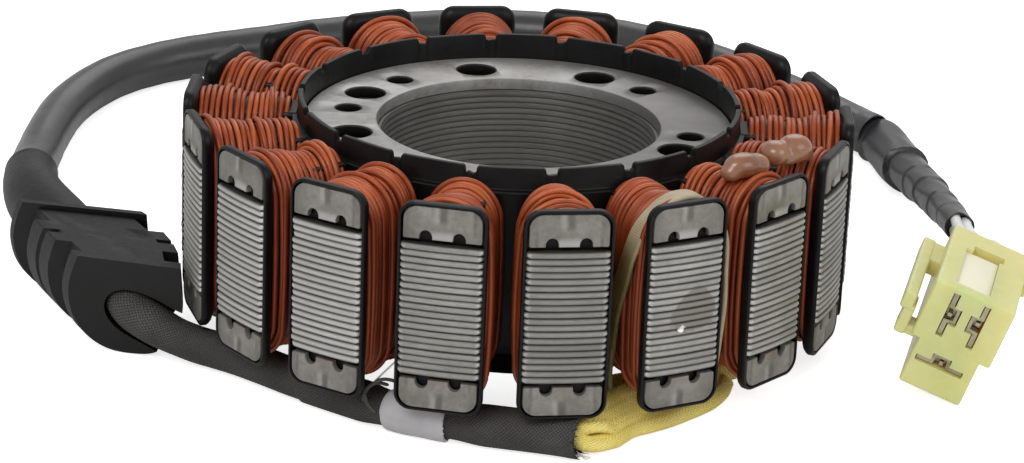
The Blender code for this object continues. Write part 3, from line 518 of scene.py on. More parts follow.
lean = {"deg": 4.148, "towardsDeg": 57.8, "poles": 18, "firstPoleDeg": -162.15, "height": 22.677 * mm}
towards = math.radians(lean["towardsDeg"])
leanAxis = Vector((-math.sin(towards), math.cos(towards), 0.0))
leanMatrix = np.array(Matrix.Rotation(math.radians(lean["deg"]), 3, leanAxis))
poleNumbers = range(1, lean["poles"] + 1)


def leaned(points):
    # from the stator's frame to the floor's
    return np.asarray(points, float) @ leanMatrix.T + (0.0, 0.0, lean["height"])


def onPole(number, points):
    # from one pole's frame (x outwards, y along the rim, z up the axis) to the floor's
    turn = math.radians(lean["firstPoleDeg"] + 360.0 / lean["poles"] * (number - 1))
    c, s = math.cos(turn), math.sin(turn)
    x, y, z = np.moveaxis(np.asarray(points, float), -1, 0)
    return leaned(np.stack([x * c - y * s, x * s + y * c, z], -1))


# laminations

stack = {"rim": 60.0, "half": 11.75, "sheets": 20, "shoeTop": 11.25, "shoeHalf": 7.1, "shoeInner": 58.32,
         "groove": 0.30, "bevel": 0.9, "frontPoints": 13, "bore": 24.5, "yoke": 38.15, "boreGroove": 0.13,
         "segments": 180, "uvPerPole": 30.0}


def sheetRows(groove, sheets, low, high):
    # rows up a stack: height, how far the row stands back, its place in sheets, and the number of its sheet;
    # there is a groove between sheets and a rounded edge on each
    share = np.array([0.0, 0.07, 0.18, 0.34, 0.5, 0.66, 0.82, 0.93])
    back = np.array([1.0, 0.62, 0.28, 0.06, 0.0, 0.06, 0.28, 0.62]) * groove
    layers = np.arange(sheets)
    sheet = (layers[:, None] + share[None, :]).ravel()
    z = low + sheet * (high - low) / sheets
    return (np.append(z, high), np.append(np.tile(back, sheets), groove), np.append(sheet, float(sheets)),
            np.append(np.repeat(layers, len(share)), sheets - 1))


def makeShoes(finish):
    # each pole's shoe is a tall block: loops round it, one for every row of its sheets
    shell = Shell()
    z, back, sheet, layer = sheetRows(stack["groove"], stack["sheets"], -stack["half"], stack["shoeTop"])
    half, inner, count = stack["shoeHalf"], stack["shoeInner"], stack["frontPoints"]
    flat = half - stack["bevel"]
    y = np.concatenate([np.linspace(-flat, flat, count), [flat + 0.35, half - 0.35, half, half],
                        [half - 0.3, -half + 0.3], [-half, -half, -half + 0.35, -flat - 0.35]])
    front = np.sqrt(stack["rim"] ** 2 - y[:count] ** 2)
    corner = front[0] - np.array([0.08, 0.34, 0.7])
    x = np.concatenate([front, corner, [inner + 0.2, inner, inner, inner + 0.2], corner[::-1]])
    outward = (x > inner + 0.3).astype(float)
    atSides = np.sign(y) * (np.abs(y) > half - 0.6)
    for number in poleNumbers:
        shiftOut = shuffle.normal(0.0, 0.035, stack["sheets"])[layer]
        shiftAlong = shuffle.normal(0.0, 0.09, stack["sheets"])[layer]
        points = np.empty((len(z), len(x), 3))
        points[..., 0] = x[None, :] + (shiftOut - back)[:, None] * outward[None, :]
        points[..., 1] = y[None, :] + shiftAlong[:, None] - (back * 1.6)[:, None] * atSides[None, :]
        points[..., 2] = z[:, None]
        v = sheet + stack["uvPerPole"] * number
        uv = np.stack(np.broadcast_arrays(np.append(y, y[0])[None, :] * mm, v[:, None]), -1)
        shell.add(onPole(number, points * mm), uv)
    return addPiece("laminationShoes", shell.mesh("laminationShoes", 50.0), finish, "lamination_steel")


holes = {"circle": 31.0, "large": 3.6, "small": 2.3, "chamfer": 0.25, "sides": 40, "uvMark": -5.0,
         "largeDeg": (-165.3, -115.4, -72.2, -26.0, 20.0, 64.5), "smallDeg": (-134.9, -97.7, 79.8, 131.9),
         "blindDeg": 152.6}


def holeCutter(low, high, faces):
    # bolt holes as slim turned forms, flared where they leave a plate's face; their UV marks the walls
    shell = Shell()
    turn = np.linspace(0.0, 2 * math.pi, holes["sides"], endpoint=False)
    angles = [(deg, holes["large"]) for deg in (*holes["largeDeg"], holes["blindDeg"])]
    angles += [(deg, holes["small"]) for deg in holes["smallDeg"]]
    for deg, radius in angles:
        place = math.radians(deg - 90.0)
        x, y = holes["circle"] * math.cos(place), holes["circle"] * math.sin(place)
        profile = [(low - 1.0, radius), (high + 1.0, radius)]
        if faces == "top":
            profile = [(low - 1.0, radius), (high - holes["chamfer"], radius), (high + 0.75, radius + 1.0)]
        elif faces == "bottom":
            profile = [(low - 0.75, radius + 1.0), (low + holes["chamfer"], radius), (high + 1.0, radius)]
        z, r = (np.array(column)[:, None] for column in zip(*profile))
        points = np.stack(np.broadcast_arrays(x + r * np.cos(turn), y + r * np.sin(turn), z), -1)
        shell.add(leaned(points * mm), np.full((len(z) + 1, holes["sides"] + 1, 2), holes["uvMark"]))
    return shell


def heldObject(name, shell):
    # an object that is only there while another one is made
    held = bpy.data.objects.new(name, shell.mesh(name))
    bpy.context.scene.collection.objects.link(held)
    return held


def workedOut(piece, name):
    # the piece's mesh with its modifiers applied
    bpy.context.view_layer.update()
    mesh = bpy.data.meshes.new_from_object(piece.evaluated_get(bpy.context.evaluated_depsgraph_get()))
    mesh.name = name
    return mesh


def drilled(piece, shell):
    # takes the holes out of the piece and keeps the result as its mesh
    cutter = heldObject("holeCutter", shell)
    cut = piece.modifiers.new("drill", "BOOLEAN")
    cut.operation, cut.solver, cut.object = "DIFFERENCE", "EXACT", cutter
    old, piece.data = piece.data, workedOut(piece, piece.name)
    piece.modifiers.clear()
    bpy.data.meshes.remove(old)
    bpy.data.objects.remove(cutter)


def turned(profile):
    # a closed profile of (radius, height) rows carried round the stator's axis
    radius, height = (np.array(column, float)[:, None] for column in zip(*profile))
    turn = np.linspace(0.0, 2 * math.pi, stack["segments"], endpoint=False)[None, :]
    points = np.stack(np.broadcast_arrays(radius * np.cos(turn), radius * np.sin(turn), height), -1)
    return leaned(points * mm)


def makeBoreRing(finish):
    # the ring inside the insulator, with its sheets showing in the bore
    z, back, sheet, _ = sheetRows(stack["boreGroove"], stack["sheets"] + 1, -stack["half"], stack["half"])
    inner = [(stack["bore"] + b, height) for height, b in zip(z, back)]
    outer = [(stack["yoke"], stack["half"]), (stack["yoke"], -stack["half"])]
    along = np.linspace(0.0, 2 * math.pi * stack["bore"] * mm, stack["segments"] + 1)[None, :]
    v = np.concatenate([sheet, [0.5, 0.5, sheet[0]]])[:, None]
    shell = Shell().add(turned(inner + outer), np.stack(np.broadcast_arrays(along, v), -1), wrapRows=True)
    ring = addPiece("boreLaminations", shell.mesh("boreLaminations", 50.0), finish, "lamination_steel",
                    "lamination_stack")
    drilled(ring, holeCutter(-stack["half"], stack["half"], ""))


# end plates

plate = {"bore": 25.4, "outer": 38.15, "foot": 11.9, "top": 14.0, "edge": 0.3,
         "tabFoot": {1: 12.0, -1: 12.55}, "tabTop": 17.6, "tabInner": 58.3, "tabOuter": 59.4, "tabHalf": 6.6,
         "tabCorner": 2.3, "relief": 1.1, "reliefTall": 1.55, "reliefAt": 2.8, "bevel": 0.2}


def tabLoop(side):
    # half a tab from its middle: straight foot, half-round relief notch, side, rounded top corner
    notch = np.linspace(math.pi, 0.0, 11)
    corner = np.linspace(0.0, math.pi / 2, 9)
    half, top, round_, foot = plate["tabHalf"], plate["tabTop"], plate["tabCorner"], plate["tabFoot"][side]
    right = [(0.0, foot)]
    right += list(zip(plate["reliefAt"] + plate["relief"] * np.cos(notch),
                      foot + plate["reliefTall"] * np.sin(notch) ** 0.8))
    right += [(half - 0.25, foot), (half, foot + 0.25)]
    right += list(zip(half - round_ + round_ * np.cos(corner), top - round_ + round_ * np.sin(corner)))
    right += [(0.0, top)]
    left = [(-y, z) for y, z in right[1:-1]]
    return np.array(right + left[::-1])


def insetLoop(loop, distance):
    # moves a closed loop's points inwards along the mean normal of their two edges
    ahead, behind = np.roll(loop, -1, 0) - loop, loop - np.roll(loop, 1, 0)
    normal = unit(np.stack([-(ahead + behind)[:, 1], (ahead + behind)[:, 0]], -1))
    area = np.cross(loop, np.roll(loop, -1, 0)).sum()
    return loop + normal * distance * np.sign(area)


def makeEndPlate(side, finishes):
    # a flat ring with drilled holes, and a tab on the front of every pole
    name = "endPlateTop" if side > 0 else "endPlateBottom"
    p, e = plate, plate["edge"]
    profile = [(p["bore"], p["foot"]), (p["bore"], p["top"] - e), (p["bore"] + e * 0.3, p["top"] - e * 0.3),
               (p["bore"] + e, p["top"]), (p["outer"], p["top"]), (p["outer"], p["foot"])]
    shell = Shell().add(turned([(r, z * side) for r, z in profile]), None, wrapRows=True)
    ring = addPiece(name + "Ring", shell.mesh(name + "Ring", 30.0), finishes[0], "zinc_steel",
                    "end_plate_top" if side > 0 else "end_plate_bottom")
    low, high = sorted((p["foot"] * side, p["top"] * side))
    drilled(ring, holeCutter(low, high, "top" if side > 0 else "bottom"))

    tabs, bevel = Shell(), p["bevel"]
    steps = ((p["tabInner"], 0.0), (p["tabOuter"] - bevel, 0.0), (p["tabOuter"] - bevel * 0.3, bevel * 0.3),
             (p["tabOuter"], bevel))
    outlines = [insetLoop(tabLoop(side), inset) * (1.0, side) for _, inset in steps]
    for number in poleNumbers:
        bow = shuffle.normal(0.0, 0.03)
        rows = [np.column_stack([np.full(len(outline), x + bow), outline]) for (x, _), outline
                in zip(steps, outlines)]
        tabs.add(onPole(number, np.array(rows) * mm))
    mesh = tabs.mesh(name + "Tabs", 30.0)
    # every corner, those of the flat fronts too, takes its point's place on the tab as its UV
    local = np.tile(np.concatenate(outlines) * mm, (lean["poles"], 1))
    corners = np.empty(len(mesh.loops), np.int32)
    mesh.loops.foreach_get("vertex_index", corners)
    mesh.uv_layers["surface"].data.foreach_set("uv", local[corners].astype(np.float32).ravel())
    addPiece(name + "Tabs", mesh, finishes[1], "zinc_steel")


# the black insulator

mould = {"collarInner": 38.5, "collarOuter": 39.5, "collarHalf": 18.6, "ledge": 40.6, "ledgeHalf": 14.6,
         "notchHalf": 0.9, "notchDeep": 1.15, "back": 57.0, "front": 59.35, "flangeHalfWidth": 7.5,
         "flangeHalfHeight": 18.3, "corner": 2.9, "cornerSteps": 9, "rim": 0.56, "pocketFloor": 58.02,
         "lip": 0.28, "spoolHalf": (4.2, 14.8), "spoolCorner": 0.8, "spoolSpan": (39.6, 57.2)}


def addCollar(shell):
    # a thin wall with rounded lips, notched at every pole; its profile is carried round by angle
    m, e = mould, mould["lip"]
    inner, outer, top, ledge = m["collarInner"], m["collarOuter"], m["collarHalf"], m["ledgeHalf"]
    upper = [(inner, 10.0), (inner, top - e), (inner + e * 0.3, top - e * 0.3), (inner + e, top),
             (outer - e, top), (outer - e * 0.3, top - e * 0.3), (outer, top - e), (outer, ledge + 0.4),
             (outer + 0.15, ledge + 0.1), (outer + 0.45, ledge), (m["ledge"] - 0.2, ledge),
             (m["ledge"], ledge - 0.2)]
    profile = upper + [(r, -z) for r, z in reversed(upper)]
    radius, height = (np.array(column)[:, None] for column in zip(*profile))
    pitch = 2 * math.pi / lean["poles"]
    between = np.array([-0.5, -0.30, -0.16]) * pitch
    edge = m["notchHalf"] / ((inner + outer) / 2)
    halfNotch = np.array([edge * 0.4, edge, edge + 0.004, edge + 0.012])
    share = np.concatenate([between, -halfNotch[::-1], halfNotch, -between[1:][::-1]])
    cut = np.array([0, 0, 0, 0, 0.25, 1, 1, 1, 1, 0.25, 0, 0, 0])
    first = math.radians(lean["firstPoleDeg"])
    turns = np.concatenate([share + first + pitch * k for k in range(lean["poles"])])
    cuts = np.tile(cut, lean["poles"])
    ragged = 1.0 + 0.12 * shuffle.normal(size=len(cuts))
    sink = np.where(np.abs(height) > ledge + 1.0, cuts * m["notchDeep"] * ragged, 0.0)
    wobble = 0.05 * np.sin(turns * 7.0 + 1.0) + 0.04 * np.sin(turns * 17.0)
    z = height - np.sign(height) * (sink + np.where(np.abs(height) > 16.0, wobble, 0.0))
    points = np.stack([radius * np.cos(turns), radius * np.sin(turns), z], -1)
    shell.add(leaned(points * mm), None, wrapRows=True)


def makeInsulator(finish):
    m, shell = mould, Shell()
    addCollar(shell)
    for number in poleNumbers:
        jitter = shuffle.normal(0.0, 0.05, 2)
        # flange: nested rounded rectangles from the back's middle over the rim into the shoe's pocket
        rows = []
        for x, inset in ((m["back"], 4.2), (m["back"], 1.5), (m["back"] + 0.35, 0.75),
                         (m["back"] + 0.8, 0.25),
                         (m["back"] + 1.2, 0.0), (m["front"] - 0.35, 0.0), (m["front"] - 0.12, 0.08),
                         (m["front"], 0.25), (m["front"] - 0.02, m["rim"] - 0.06),
                         (m["front"] - 0.12, m["rim"]), (m["pocketFloor"], m["rim"]),
                         (m["pocketFloor"], 4.2)):
            corner = max(m["corner"] - inset, 0.9 if inset > 0.6 else 0.5)
            halfWidth, halfHeight = m["flangeHalfWidth"] - inset, m["flangeHalfHeight"] - inset
            loop = roundedLoop(halfWidth, halfHeight, corner, m["cornerSteps"])
            rows.append(np.column_stack([np.full(len(loop), x + jitter[0] * 0.5), loop]))
        shell.add(onPole(number, np.array(rows) * mm))
        spool = roundedLoop(*m["spoolHalf"], m["spoolCorner"], m["cornerSteps"])
        rows = [np.column_stack([np.full(len(spool), x), spool]) for x in m["spoolSpan"]]
        shell.add(onPole(number, np.array(rows) * mm))
    return addPiece("poleInsulator", shell.mesh("poleInsulator", 35.0), finish, "black_moulding", "insulator")


# coils

coil = {"start": 40.9, "end": 57.2, "turns": 15, "wire": 0.485, "halfWidths": (6.15, 7.6),
        "halfHeights": (17.1, 17.8), "archHeight": 8.5, "archPower": 2.1, "loopPoints": 56, "wireSides": 8,
        "spare": (2, 4), "coreInside": 0.85, "coreRows": 14, "corePoints": 40}


def archLoop(halfWidth, halfHeight, arch, count):
    # straight sides under a flattened half-ellipse, and the same below; starts at the top's middle
    turn = np.linspace(0.0, 2 * math.pi, count, endpoint=False)[None, :]
    power = 2.0 / coil["archPower"]
    s, c = np.sin(turn), np.cos(turn)
    y = halfWidth[:, None] * np.sign(s) * np.abs(s) ** power
    straight = np.clip(c * 3.0, -1, 1) * (halfHeight - arch)[:, None]
    return y, np.sign(c) * np.abs(c) ** power * arch[:, None] + straight


def coilReach(x, hump):
    # half width and half height of the wound coil at a distance out from the axis, with its two humps on top
    share = (x - coil["start"]) / (coil["end"] - coil["start"])
    sizes = (coil["halfWidths"], coil["halfHeights"])
    width, height = (start + share * (end - start) for start, end in sizes)
    dip = hump["dip"] * np.exp(-((share - hump["at"]) / 0.13) ** 2)
    shoulder = 0.7 * smoothStep(0.12, 0.0, share) + 0.5 * smoothStep(0.93, 1.0, share)
    return width - 0.4 * dip - 0.4 * shoulder, height - dip - shoulder


def makeCoil(number, finishes):
    # single closed turns side by side, with two or three spare ones above them, round a dark core
    hump = {"at": shuffle.uniform(0.36, 0.52), "dip": shuffle.uniform(0.5, 1.2)}
    pitch = (coil["end"] - coil["start"]) / coil["turns"]
    base = coil["start"] + pitch * (np.arange(coil["turns"]) + 0.5)
    spare = shuffle.integers(*coil["spare"])
    over = shuffle.choice(np.arange(1, coil["turns"] - 1), spare, replace=False)
    extra = coil["start"] + pitch * (over + 1.0)
    x = np.concatenate([base, extra])
    above = np.concatenate([np.zeros(len(base)), np.full(len(extra), 0.72)])
    count = coil["loopPoints"]
    width, height = coilReach(x, hump)
    outward = above - coil["wire"] + shuffle.normal(0.0, 0.07, len(x))
    y, z = archLoop(width + outward, height + outward, np.full(len(x), coil["archHeight"]), count)
    turn = np.linspace(0.0, 2 * math.pi, count, endpoint=False)[None, :]
    phase = shuffle.uniform(0.0, 2 * math.pi, (4, len(x), 1))
    drift = np.where(above > 0, 0.5, 0.12)[:, None]
    dx = drift * np.sin(turn + phase[0]) + 0.08 * np.sin(2 * turn + phase[1])
    dx = dx + 0.04 * np.sin(5 * turn + phase[2])
    bulge = 1.0 + (0.12 * np.sin(turn + phase[3]) + 0.08 * np.sin(3 * turn + phase[1])) / 12.0
    onX = np.clip(x[:, None] + dx, coil["start"] + coil["wire"] - 0.2, coil["end"] - coil["wire"] + 0.25)
    centre = np.stack([onX, y * bulge, z * (1.0 + (bulge - 1.0) * 0.4)], -1)

    shell = Shell()
    forward = unit(np.roll(centre, -1, 1) - np.roll(centre, 1, 1))
    outDirection = unit(np.cross(forward, (1.0, 0.0, 0.0)))
    alongPole = np.cross(outDirection, forward)
    around = np.linspace(0.0, 2 * math.pi, coil["wireSides"], endpoint=False)[None, :, None]
    tones = shuffle.uniform(0.0, 1.0, len(x))
    for k in range(len(x)):
        ring = (centre[k][:, None, :] + coil["wire"] * (np.cos(around) * alongPole[k][:, None, :]
                                                        + np.sin(around) * outDirection[k][:, None, :]))
        uv = np.empty((count + 1, coil["wireSides"] + 1, 2))
        uv[..., 0] = np.linspace(0.0, 1.0, count + 1)[:, None]
        uv[..., 1] = tones[k]
        shell.add(onPole(number, ring * mm), uv, wrapRows=True)
    name = f"coil{number:02d}"
    addPiece(name + "Turns", shell.mesh(name + "Turns", 60.0), finishes[0], "enamelled_copper",
             f"coil_{number:02d}")

    x = np.linspace(coil["start"] + 0.15, coil["end"] - 0.15, coil["coreRows"])
    width, height = coilReach(x, hump)
    inside, count = coil["coreInside"], coil["corePoints"]
    y, z = archLoop(width - inside, height - inside, np.full(len(x), coil["archHeight"]), count)
    outer = np.stack([np.broadcast_to(x[:, None], y.shape), y, z], -1)
    y, z = archLoop(np.full(2, 4.5), np.full(2, 15.1), np.full(2, 1.0), count)
    inner = np.stack([np.broadcast_to(x[[-1, 0]][:, None], y.shape), y, z], -1)
    core = Shell().add(onPole(number, np.concatenate([outer, inner]) * mm), None, wrapRows=True)
    addPiece(name + "Core", core.mesh(name + "Core", 60.0), finishes[1], "enamelled_copper")


lamination = laminationFinish()
makeShoes(lamination)
makeBoreRing(lamination)
print("laminations made")
plateSteel, tabSteel = plateSteelFinish(), tabFinish()
makeEndPlate(1, (plateSteel, tabSteel))
makeEndPlate(-1, (plateSteel, tabSteel))
makeInsulator(mouldingFinish())
print("end plates and insulator made")
copper, core = copperFinish(), windingCoreFinish()
for poleNumber in poleNumbers:
    makeCoil(poleNumber, (copper, core))
print("coils wound")


# lead: sleeves, band, boot, sheath, tape and wires

sleeveRoute = (
    (-69.8, -8.6, 9.4), (-69.4, -13.4, 9.1), (-67.8, -17.3, 8.3), (-64.8, -20.0, 7.0),
    (-60.9, -21.5, 5.2), (-56.4, -23.1, 3.95), (-52.1, -25.3, 3.65), (-48.2, -27.9, 3.65),
    (-43.1, -31.9, 3.65), (-38.1, -36.0, 3.65), (-30.0, -41.9, 3.65), (-21.9, -47.4, 3.65),
    (-17.3, -49.9, 3.65), (-12.6, -51.7, 3.65), (-7.7, -53.2, 3.65), (-2.7, -54.6, 3.65),
    (4.0, -56.4, 3.65), (10.4, -58.3, 3.65))
sleeve = {"radius": 3.58, "atGrommet": 4.2, "underBand": 3.05, "thinner": 0.28, "stepAt": -35.5,
          "band": (0.665, 0.775), "bandRadii": (3.25, 3.66), "bandSides": 72, "sides": 144, "carriers": 34,
          "slant": 1500.0, "relief": 0.07, "wall": 0.7}
phaseRoutes = {
    "a": ((12.2, -58.6, 2.6), (15.3, -55.9, 2.4), (18.6, -51.0, 2.0), (22.2, -48.4, 1.8),
          (26.5, -45.6, 1.7), (31.2, -41.2, 1.7), (34.2, -36.8, 1.7), (35.4, -33.0, 1.9)),
    "b": ((12.4, -56.6, 5.4), (14.8, -53.6, 5.0), (18.4, -48.6, 4.4), (22.4, -45.0, 3.6),
          (26.6, -41.6, 2.4), (29.6, -37.4, 1.8), (31.0, -33.6, 1.7), (33.4, -29.2, 1.8),
          (37.8, -26.0, 2.0)),
    "c": ((12.0, -54.1, 2.2), (12.4, -50.4, 2.0), (14.0, -46.4, 1.8), (16.8, -42.6, 1.7),
          (20.8, -39.6, 1.7), (23.6, -36.4, 1.8)),
}
ribbon = {"sides": 96, "carriers": 20, "slant": 1400.0, "relief": 0.07, "inside": (8.6, -58.0, 3.7),
          "bundled": 1.3, "shortestCord": 33.0, "across": {"a": 2.6, "b": 3.7, "c": 4.9},
          "up": {"a": 1.3, "b": 1.25, "c": 1.1}, "tilt": {"a": -0.35, "b": -0.75, "c": -1.0}}
bootRoute = ((-83.4, 7.6, 9.0), (-82.8, 10.1, 9.0), (-84.8, 15.6, 9.0), (-88.4, 23.5, 8.7),
             (-91.9, 32.5, 8.0), (-94.3, 42.0, 7.0), (-95.3, 49.5, 6.2))
boot = {"radii": (6.4, 6.4, 6.4, 6.2, 5.9, 5.4, 5.1), "sides": 64, "lip": 0.12}
sheathRoute = (
    (-95.4, 50.1, 6.1), (-95.8, 56.5, 5.2), (-95.8, 64.0, 4.7), (-95.4, 73.5, 4.65), (-93.9, 87.0, 4.65),
    (-90.3, 98.6, 4.65), (-84.6, 108.4, 4.65), (-76.2, 115.8, 4.65), (-66.5, 120.8, 4.65),
    (-55.0, 125.4, 4.65), (-42.0, 130.4, 4.65), (-23.0, 134.9, 4.65), (-8.0, 136.1, 4.65),
    (6.0, 134.8, 4.65), (23.1, 129.3, 4.65),
    (37.2, 119.4, 4.65), (48.6, 107.2, 4.65), (59.7, 92.6, 4.65), (69.8, 77.6, 4.65), (74.0, 70.6, 4.65))
tapeRoute = ((74.7, 68.6, 4.7), (76.4, 57.7, 5.3), (78.4, 46.0, 6.5), (79.8, 35.0, 8.2), (80.7, 24.0, 10.0),
             (81.2, 14.5, 11.9), (81.4, 6.2, 13.5))


def braidLift(u, v, carriers, slant):
    # height of a two-way braid: rounded strands that take turns to lie on top
    first, second = u * carriers + v * slant, u * carriers - v * slant
    over = (np.floor(first) + np.floor(second)) % 2 < 0.5
    return 1.0 - (2.0 * (np.where(over, first, second) % 1.0) - 1.0) ** 2


def sleeveRadius(share, x):
    # wider in the grommet, a little thinner under the ring, and pinched by the marker band
    s = sleeve
    radius = np.where(share < 0.2, s["atGrommet"] + (s["radius"] - s["atGrommet"]) * share / 0.2, s["radius"])
    pressed = smoothStep(0.1, 0.2, share) - smoothStep(s["stepAt"] - 0.25, s["stepAt"], x)
    radius = radius - s["thinner"] * pressed
    low, high = s["band"]
    pinch = smoothStep(low - 0.06, low, share) * (1.0 - smoothStep(high, high + 0.07, share))
    return radius - (s["radius"] - s["underBand"]) * pinch


def makeBraidedSleeve(finish):
    line, lengths = routeLine(sleeveRoute, 0.25 * mm)
    share = lengths / lengths[-1]
    radius = sleeveRadius(share, line[:, 0] / mm)
    radius = radius + 0.10 * smoothStep(0.965, 1.0, share)
    u = np.linspace(0.0, 1.0, sleeve["sides"], endpoint=False)[None, :]
    lift = sleeve["relief"] * (braidLift(u, lengths[:, None], sleeve["carriers"], sleeve["slant"]) - 0.8)
    ragged = 0.5 * shuffle.normal(size=(1, sleeve["sides"])) * smoothStep(0.985, 1.0, share)[:, None]
    body = tubeGrid(line, radius * mm, sleeve["sides"], lift * mm)
    forward = acrossRoute(line)[2]
    body = body + forward[:, None, :] * (ragged * mm)[..., None]
    # the open mouth: the skin turns inwards and runs back inside
    ends = []
    for back, wall in ((-0.15, 0.25), (0.1, sleeve["wall"]), (1.5, 0.8), (5.0, 0.8)):
        at = min(np.searchsorted(lengths, lengths[-1] - max(back, 0.0) * mm), len(line) - 1)
        near = line[at - 1:at + 2] if at + 2 <= len(line) else line[-3:]
        circle = tubeGrid(near, np.full(len(near), radius[at] - wall) * mm, sleeve["sides"])[-1]
        ends.append(circle - forward[at] * min(back, 0.0) * mm)
    points = np.concatenate([body, np.array(ends)])
    lengths = np.concatenate([lengths, lengths[-1] + np.array([0.3, 0.8, 2.0, 5.0]) * mm])
    mesh = Shell().add(points, tubeUv(sleeve["sides"], lengths)).mesh("braidedSleeve", 70.0)
    return addPiece("braidedSleeve", mesh, finish, "black_glass_braid", "braided_sleeve"), line


def makeMarkerBand(finish):
    # a short tube round the sleeve: uneven, lapped along one side and frayed at its far edge
    line, lengths = routeLine(sleeveRoute, 0.25 * mm)
    share = lengths / lengths[-1]
    span = np.flatnonzero((share >= sleeve["band"][0]) & (share <= sleeve["band"][1]))
    part, sides = line[span], sleeve["bandSides"]
    inner, outer = (np.full(len(part), radius) * mm for radius in sleeve["bandRadii"])
    along = (lengths[span] - lengths[span[0]]) / mm
    width = along[-1]
    turn = np.linspace(0.0, 2 * math.pi, sides, endpoint=False)[None, :]
    lift = 0.05 * np.sin(3 * turn + along[:, None] * 0.5) + 0.05 * np.sin(turn * 2 - along[:, None] * 0.9)
    lift = lift - 0.14 * (1 - smoothStep(0.0, 0.35, along) * smoothStep(0.0, 0.35, width - along))[:, None]
    lift = lift + 0.22 * smoothStep(-0.35, -0.15, np.cos(turn - 0.9) - 1.0)          # the lap of its end
    fray = 0.16 * shuffle.normal(size=(1, sides)) * smoothStep(width - 1.2, width, along)[:, None]
    skin = tubeGrid(part, outer, sides, lift * mm) + acrossRoute(part)[2][:, None, :] * (fray * mm)[..., None]
    points = np.concatenate([skin, tubeGrid(part, inner, sides)[::-1]])
    uv = tubeUv(sides, np.linspace(0.0, 2 * width * mm, len(points) + 1))
    shell = Shell().add(points, uv, wrapRows=True)
    return addPiece("markerBand", shell.mesh("markerBand", 50.0), finish, "grey_shrink_band", "marker_band")


def makePhaseSleeve(letter, finish):
    # a flattened braided sleeve with long soft folds; it starts inside the black sleeve's mouth
    line, lengths = routeLine((ribbon["inside"],) + phaseRoutes[letter], 0.22 * mm)
    side, up, _ = acrossRoute(line)
    along = lengths / mm
    tilt = ribbon["tilt"][letter] * smoothStep(2.0, 9.0, along)[:, None]
    side, up = side * np.cos(tilt) + up * np.sin(tilt), up * np.cos(tilt) - side * np.sin(tilt)
    turn = np.linspace(0.0, 2 * math.pi, ribbon["sides"], endpoint=False)[None, :]
    spread = smoothStep(1.0, 9.0, along)[:, None]
    uneven = (1.0 + 0.07 * np.sin(along * 0.45))[:, None]
    wide = ribbon["bundled"] + (ribbon["across"][letter] - ribbon["bundled"]) * spread * uneven
    high = ribbon["up"][letter] * (1.0 + 0.06 * np.sin(along * 0.6 + 1.0))[:, None]
    pattern = braidLift(turn / (2 * math.pi), lengths[:, None], ribbon["carriers"], ribbon["slant"])
    folds = (np.exp(-((turn - 1.25 - 0.012 * along[:, None]) / 0.22) ** 2)
             + 0.8 * np.exp(-((turn - 2.0 + 0.01 * along[:, None]) / 0.18) ** 2)) * spread
    lift = ribbon["relief"] * pattern - 0.16 * folds
    points = (line[:, None, :] + ((wide + lift) * np.cos(turn) * mm)[..., None] * side[:, None, :]
              + ((high + lift) * np.sin(turn) * mm)[..., None] * up[:, None, :])
    points[..., 2] = np.maximum(points[..., 2], 0.00005)
    name = "phaseSleeve" + letter.upper()
    shell = Shell().add(points, tubeUv(ribbon["sides"], lengths))
    piece = addPiece(name, shell.mesh(name, 70.0), finish, "yellow_glass_braid", "phase_sleeve_" + letter)
    return piece


def makeBoot(finish):
    # a tube whose radius goes from point to point of its route, with a lip at its end
    knots = np.array(bootRoute, float)
    line, lengths = routeLine(bootRoute, 0.8 * mm)
    steps = np.concatenate([[0.0], np.cumsum(np.linalg.norm(np.diff(knots, axis=0), axis=1))]) * mm
    radius = np.interp(lengths / lengths[-1], steps / steps[-1], boot["radii"])
    radius[-2:] += boot["lip"]
    end = tubeGrid(line[-3:], np.full(3, boot["radii"][-1]) * mm, boot["sides"])[-1]
    mouth = innerRings(line, end, ((0.985, 0.0), (0.93, 0.1), (0.92, 1.2)))
    shell = Shell().add(np.concatenate([tubeGrid(line, radius * mm, boot["sides"]), mouth]))
    return addPiece("cableBoot", shell.mesh("cableBoot", 50.0), finish, "black_rubber", "cable_boot")


sheath = {"radius": 4.58, "sides": 64, "faceRad": 0.9, "flare": 1.7, "slope": 4.5}


def makeSheath(finish):
    # a slightly uneven tube, cut aslant at the tape, where one side of its mouth flares outwards
    line, lengths = routeLine(sheathRoute, 1.5 * mm)
    s, sides = sheath, sheath["sides"]
    turn = np.linspace(0.0, 2 * math.pi, sides, endpoint=False)[None, :]
    toEnd = (lengths[-1] - lengths) / mm
    lift = 0.04 * np.sin(lengths / mm * 0.21)[:, None] * np.cos(2 * turn)
    lift = lift + 0.03 * np.sin(lengths / mm * 0.9)[:, None] * np.cos(3 * turn + 1.0)
    mouthSide = np.exp(-(angleFrom(turn, s["faceRad"]) / 0.9) ** 2)
    near = 1.0 - smoothStep(0.0, 10.0, toEnd)[:, None]
    lift = lift + s["flare"] * mouthSide * near - 0.35 * (1.0 - mouthSide) * near
    points = tubeGrid(line, np.full(len(line), s["radius"]) * mm, sides, lift * mm)
    shorter = s["slope"] * (1.0 - np.cos(turn - s["faceRad"])) * 0.5 * near
    points = points - acrossRoute(line)[2][:, None, :] * (shorter * mm)[..., None]
    mouth = innerRings(line, points[-1], ((0.97, -0.12), (0.91, 0.1), (0.89, 1.5), (0.88, 7.0)))
    shell = Shell().add(np.concatenate([points, mouth]))
    mesh = shell.mesh("sheathTube", 50.0)
    return addPiece("sheathTube", mesh, finish, "grey_black_pvc", "sheath_tube"), line, lengths


tape = {"start": (72.9, 71.6, 4.55), "radius": 4.62, "sides": 72,
        "laps": ((0.30, 0.85), (0.46, 0.25), (0.58, 0.35), (0.74, 0.25), (0.88, 0.15))}


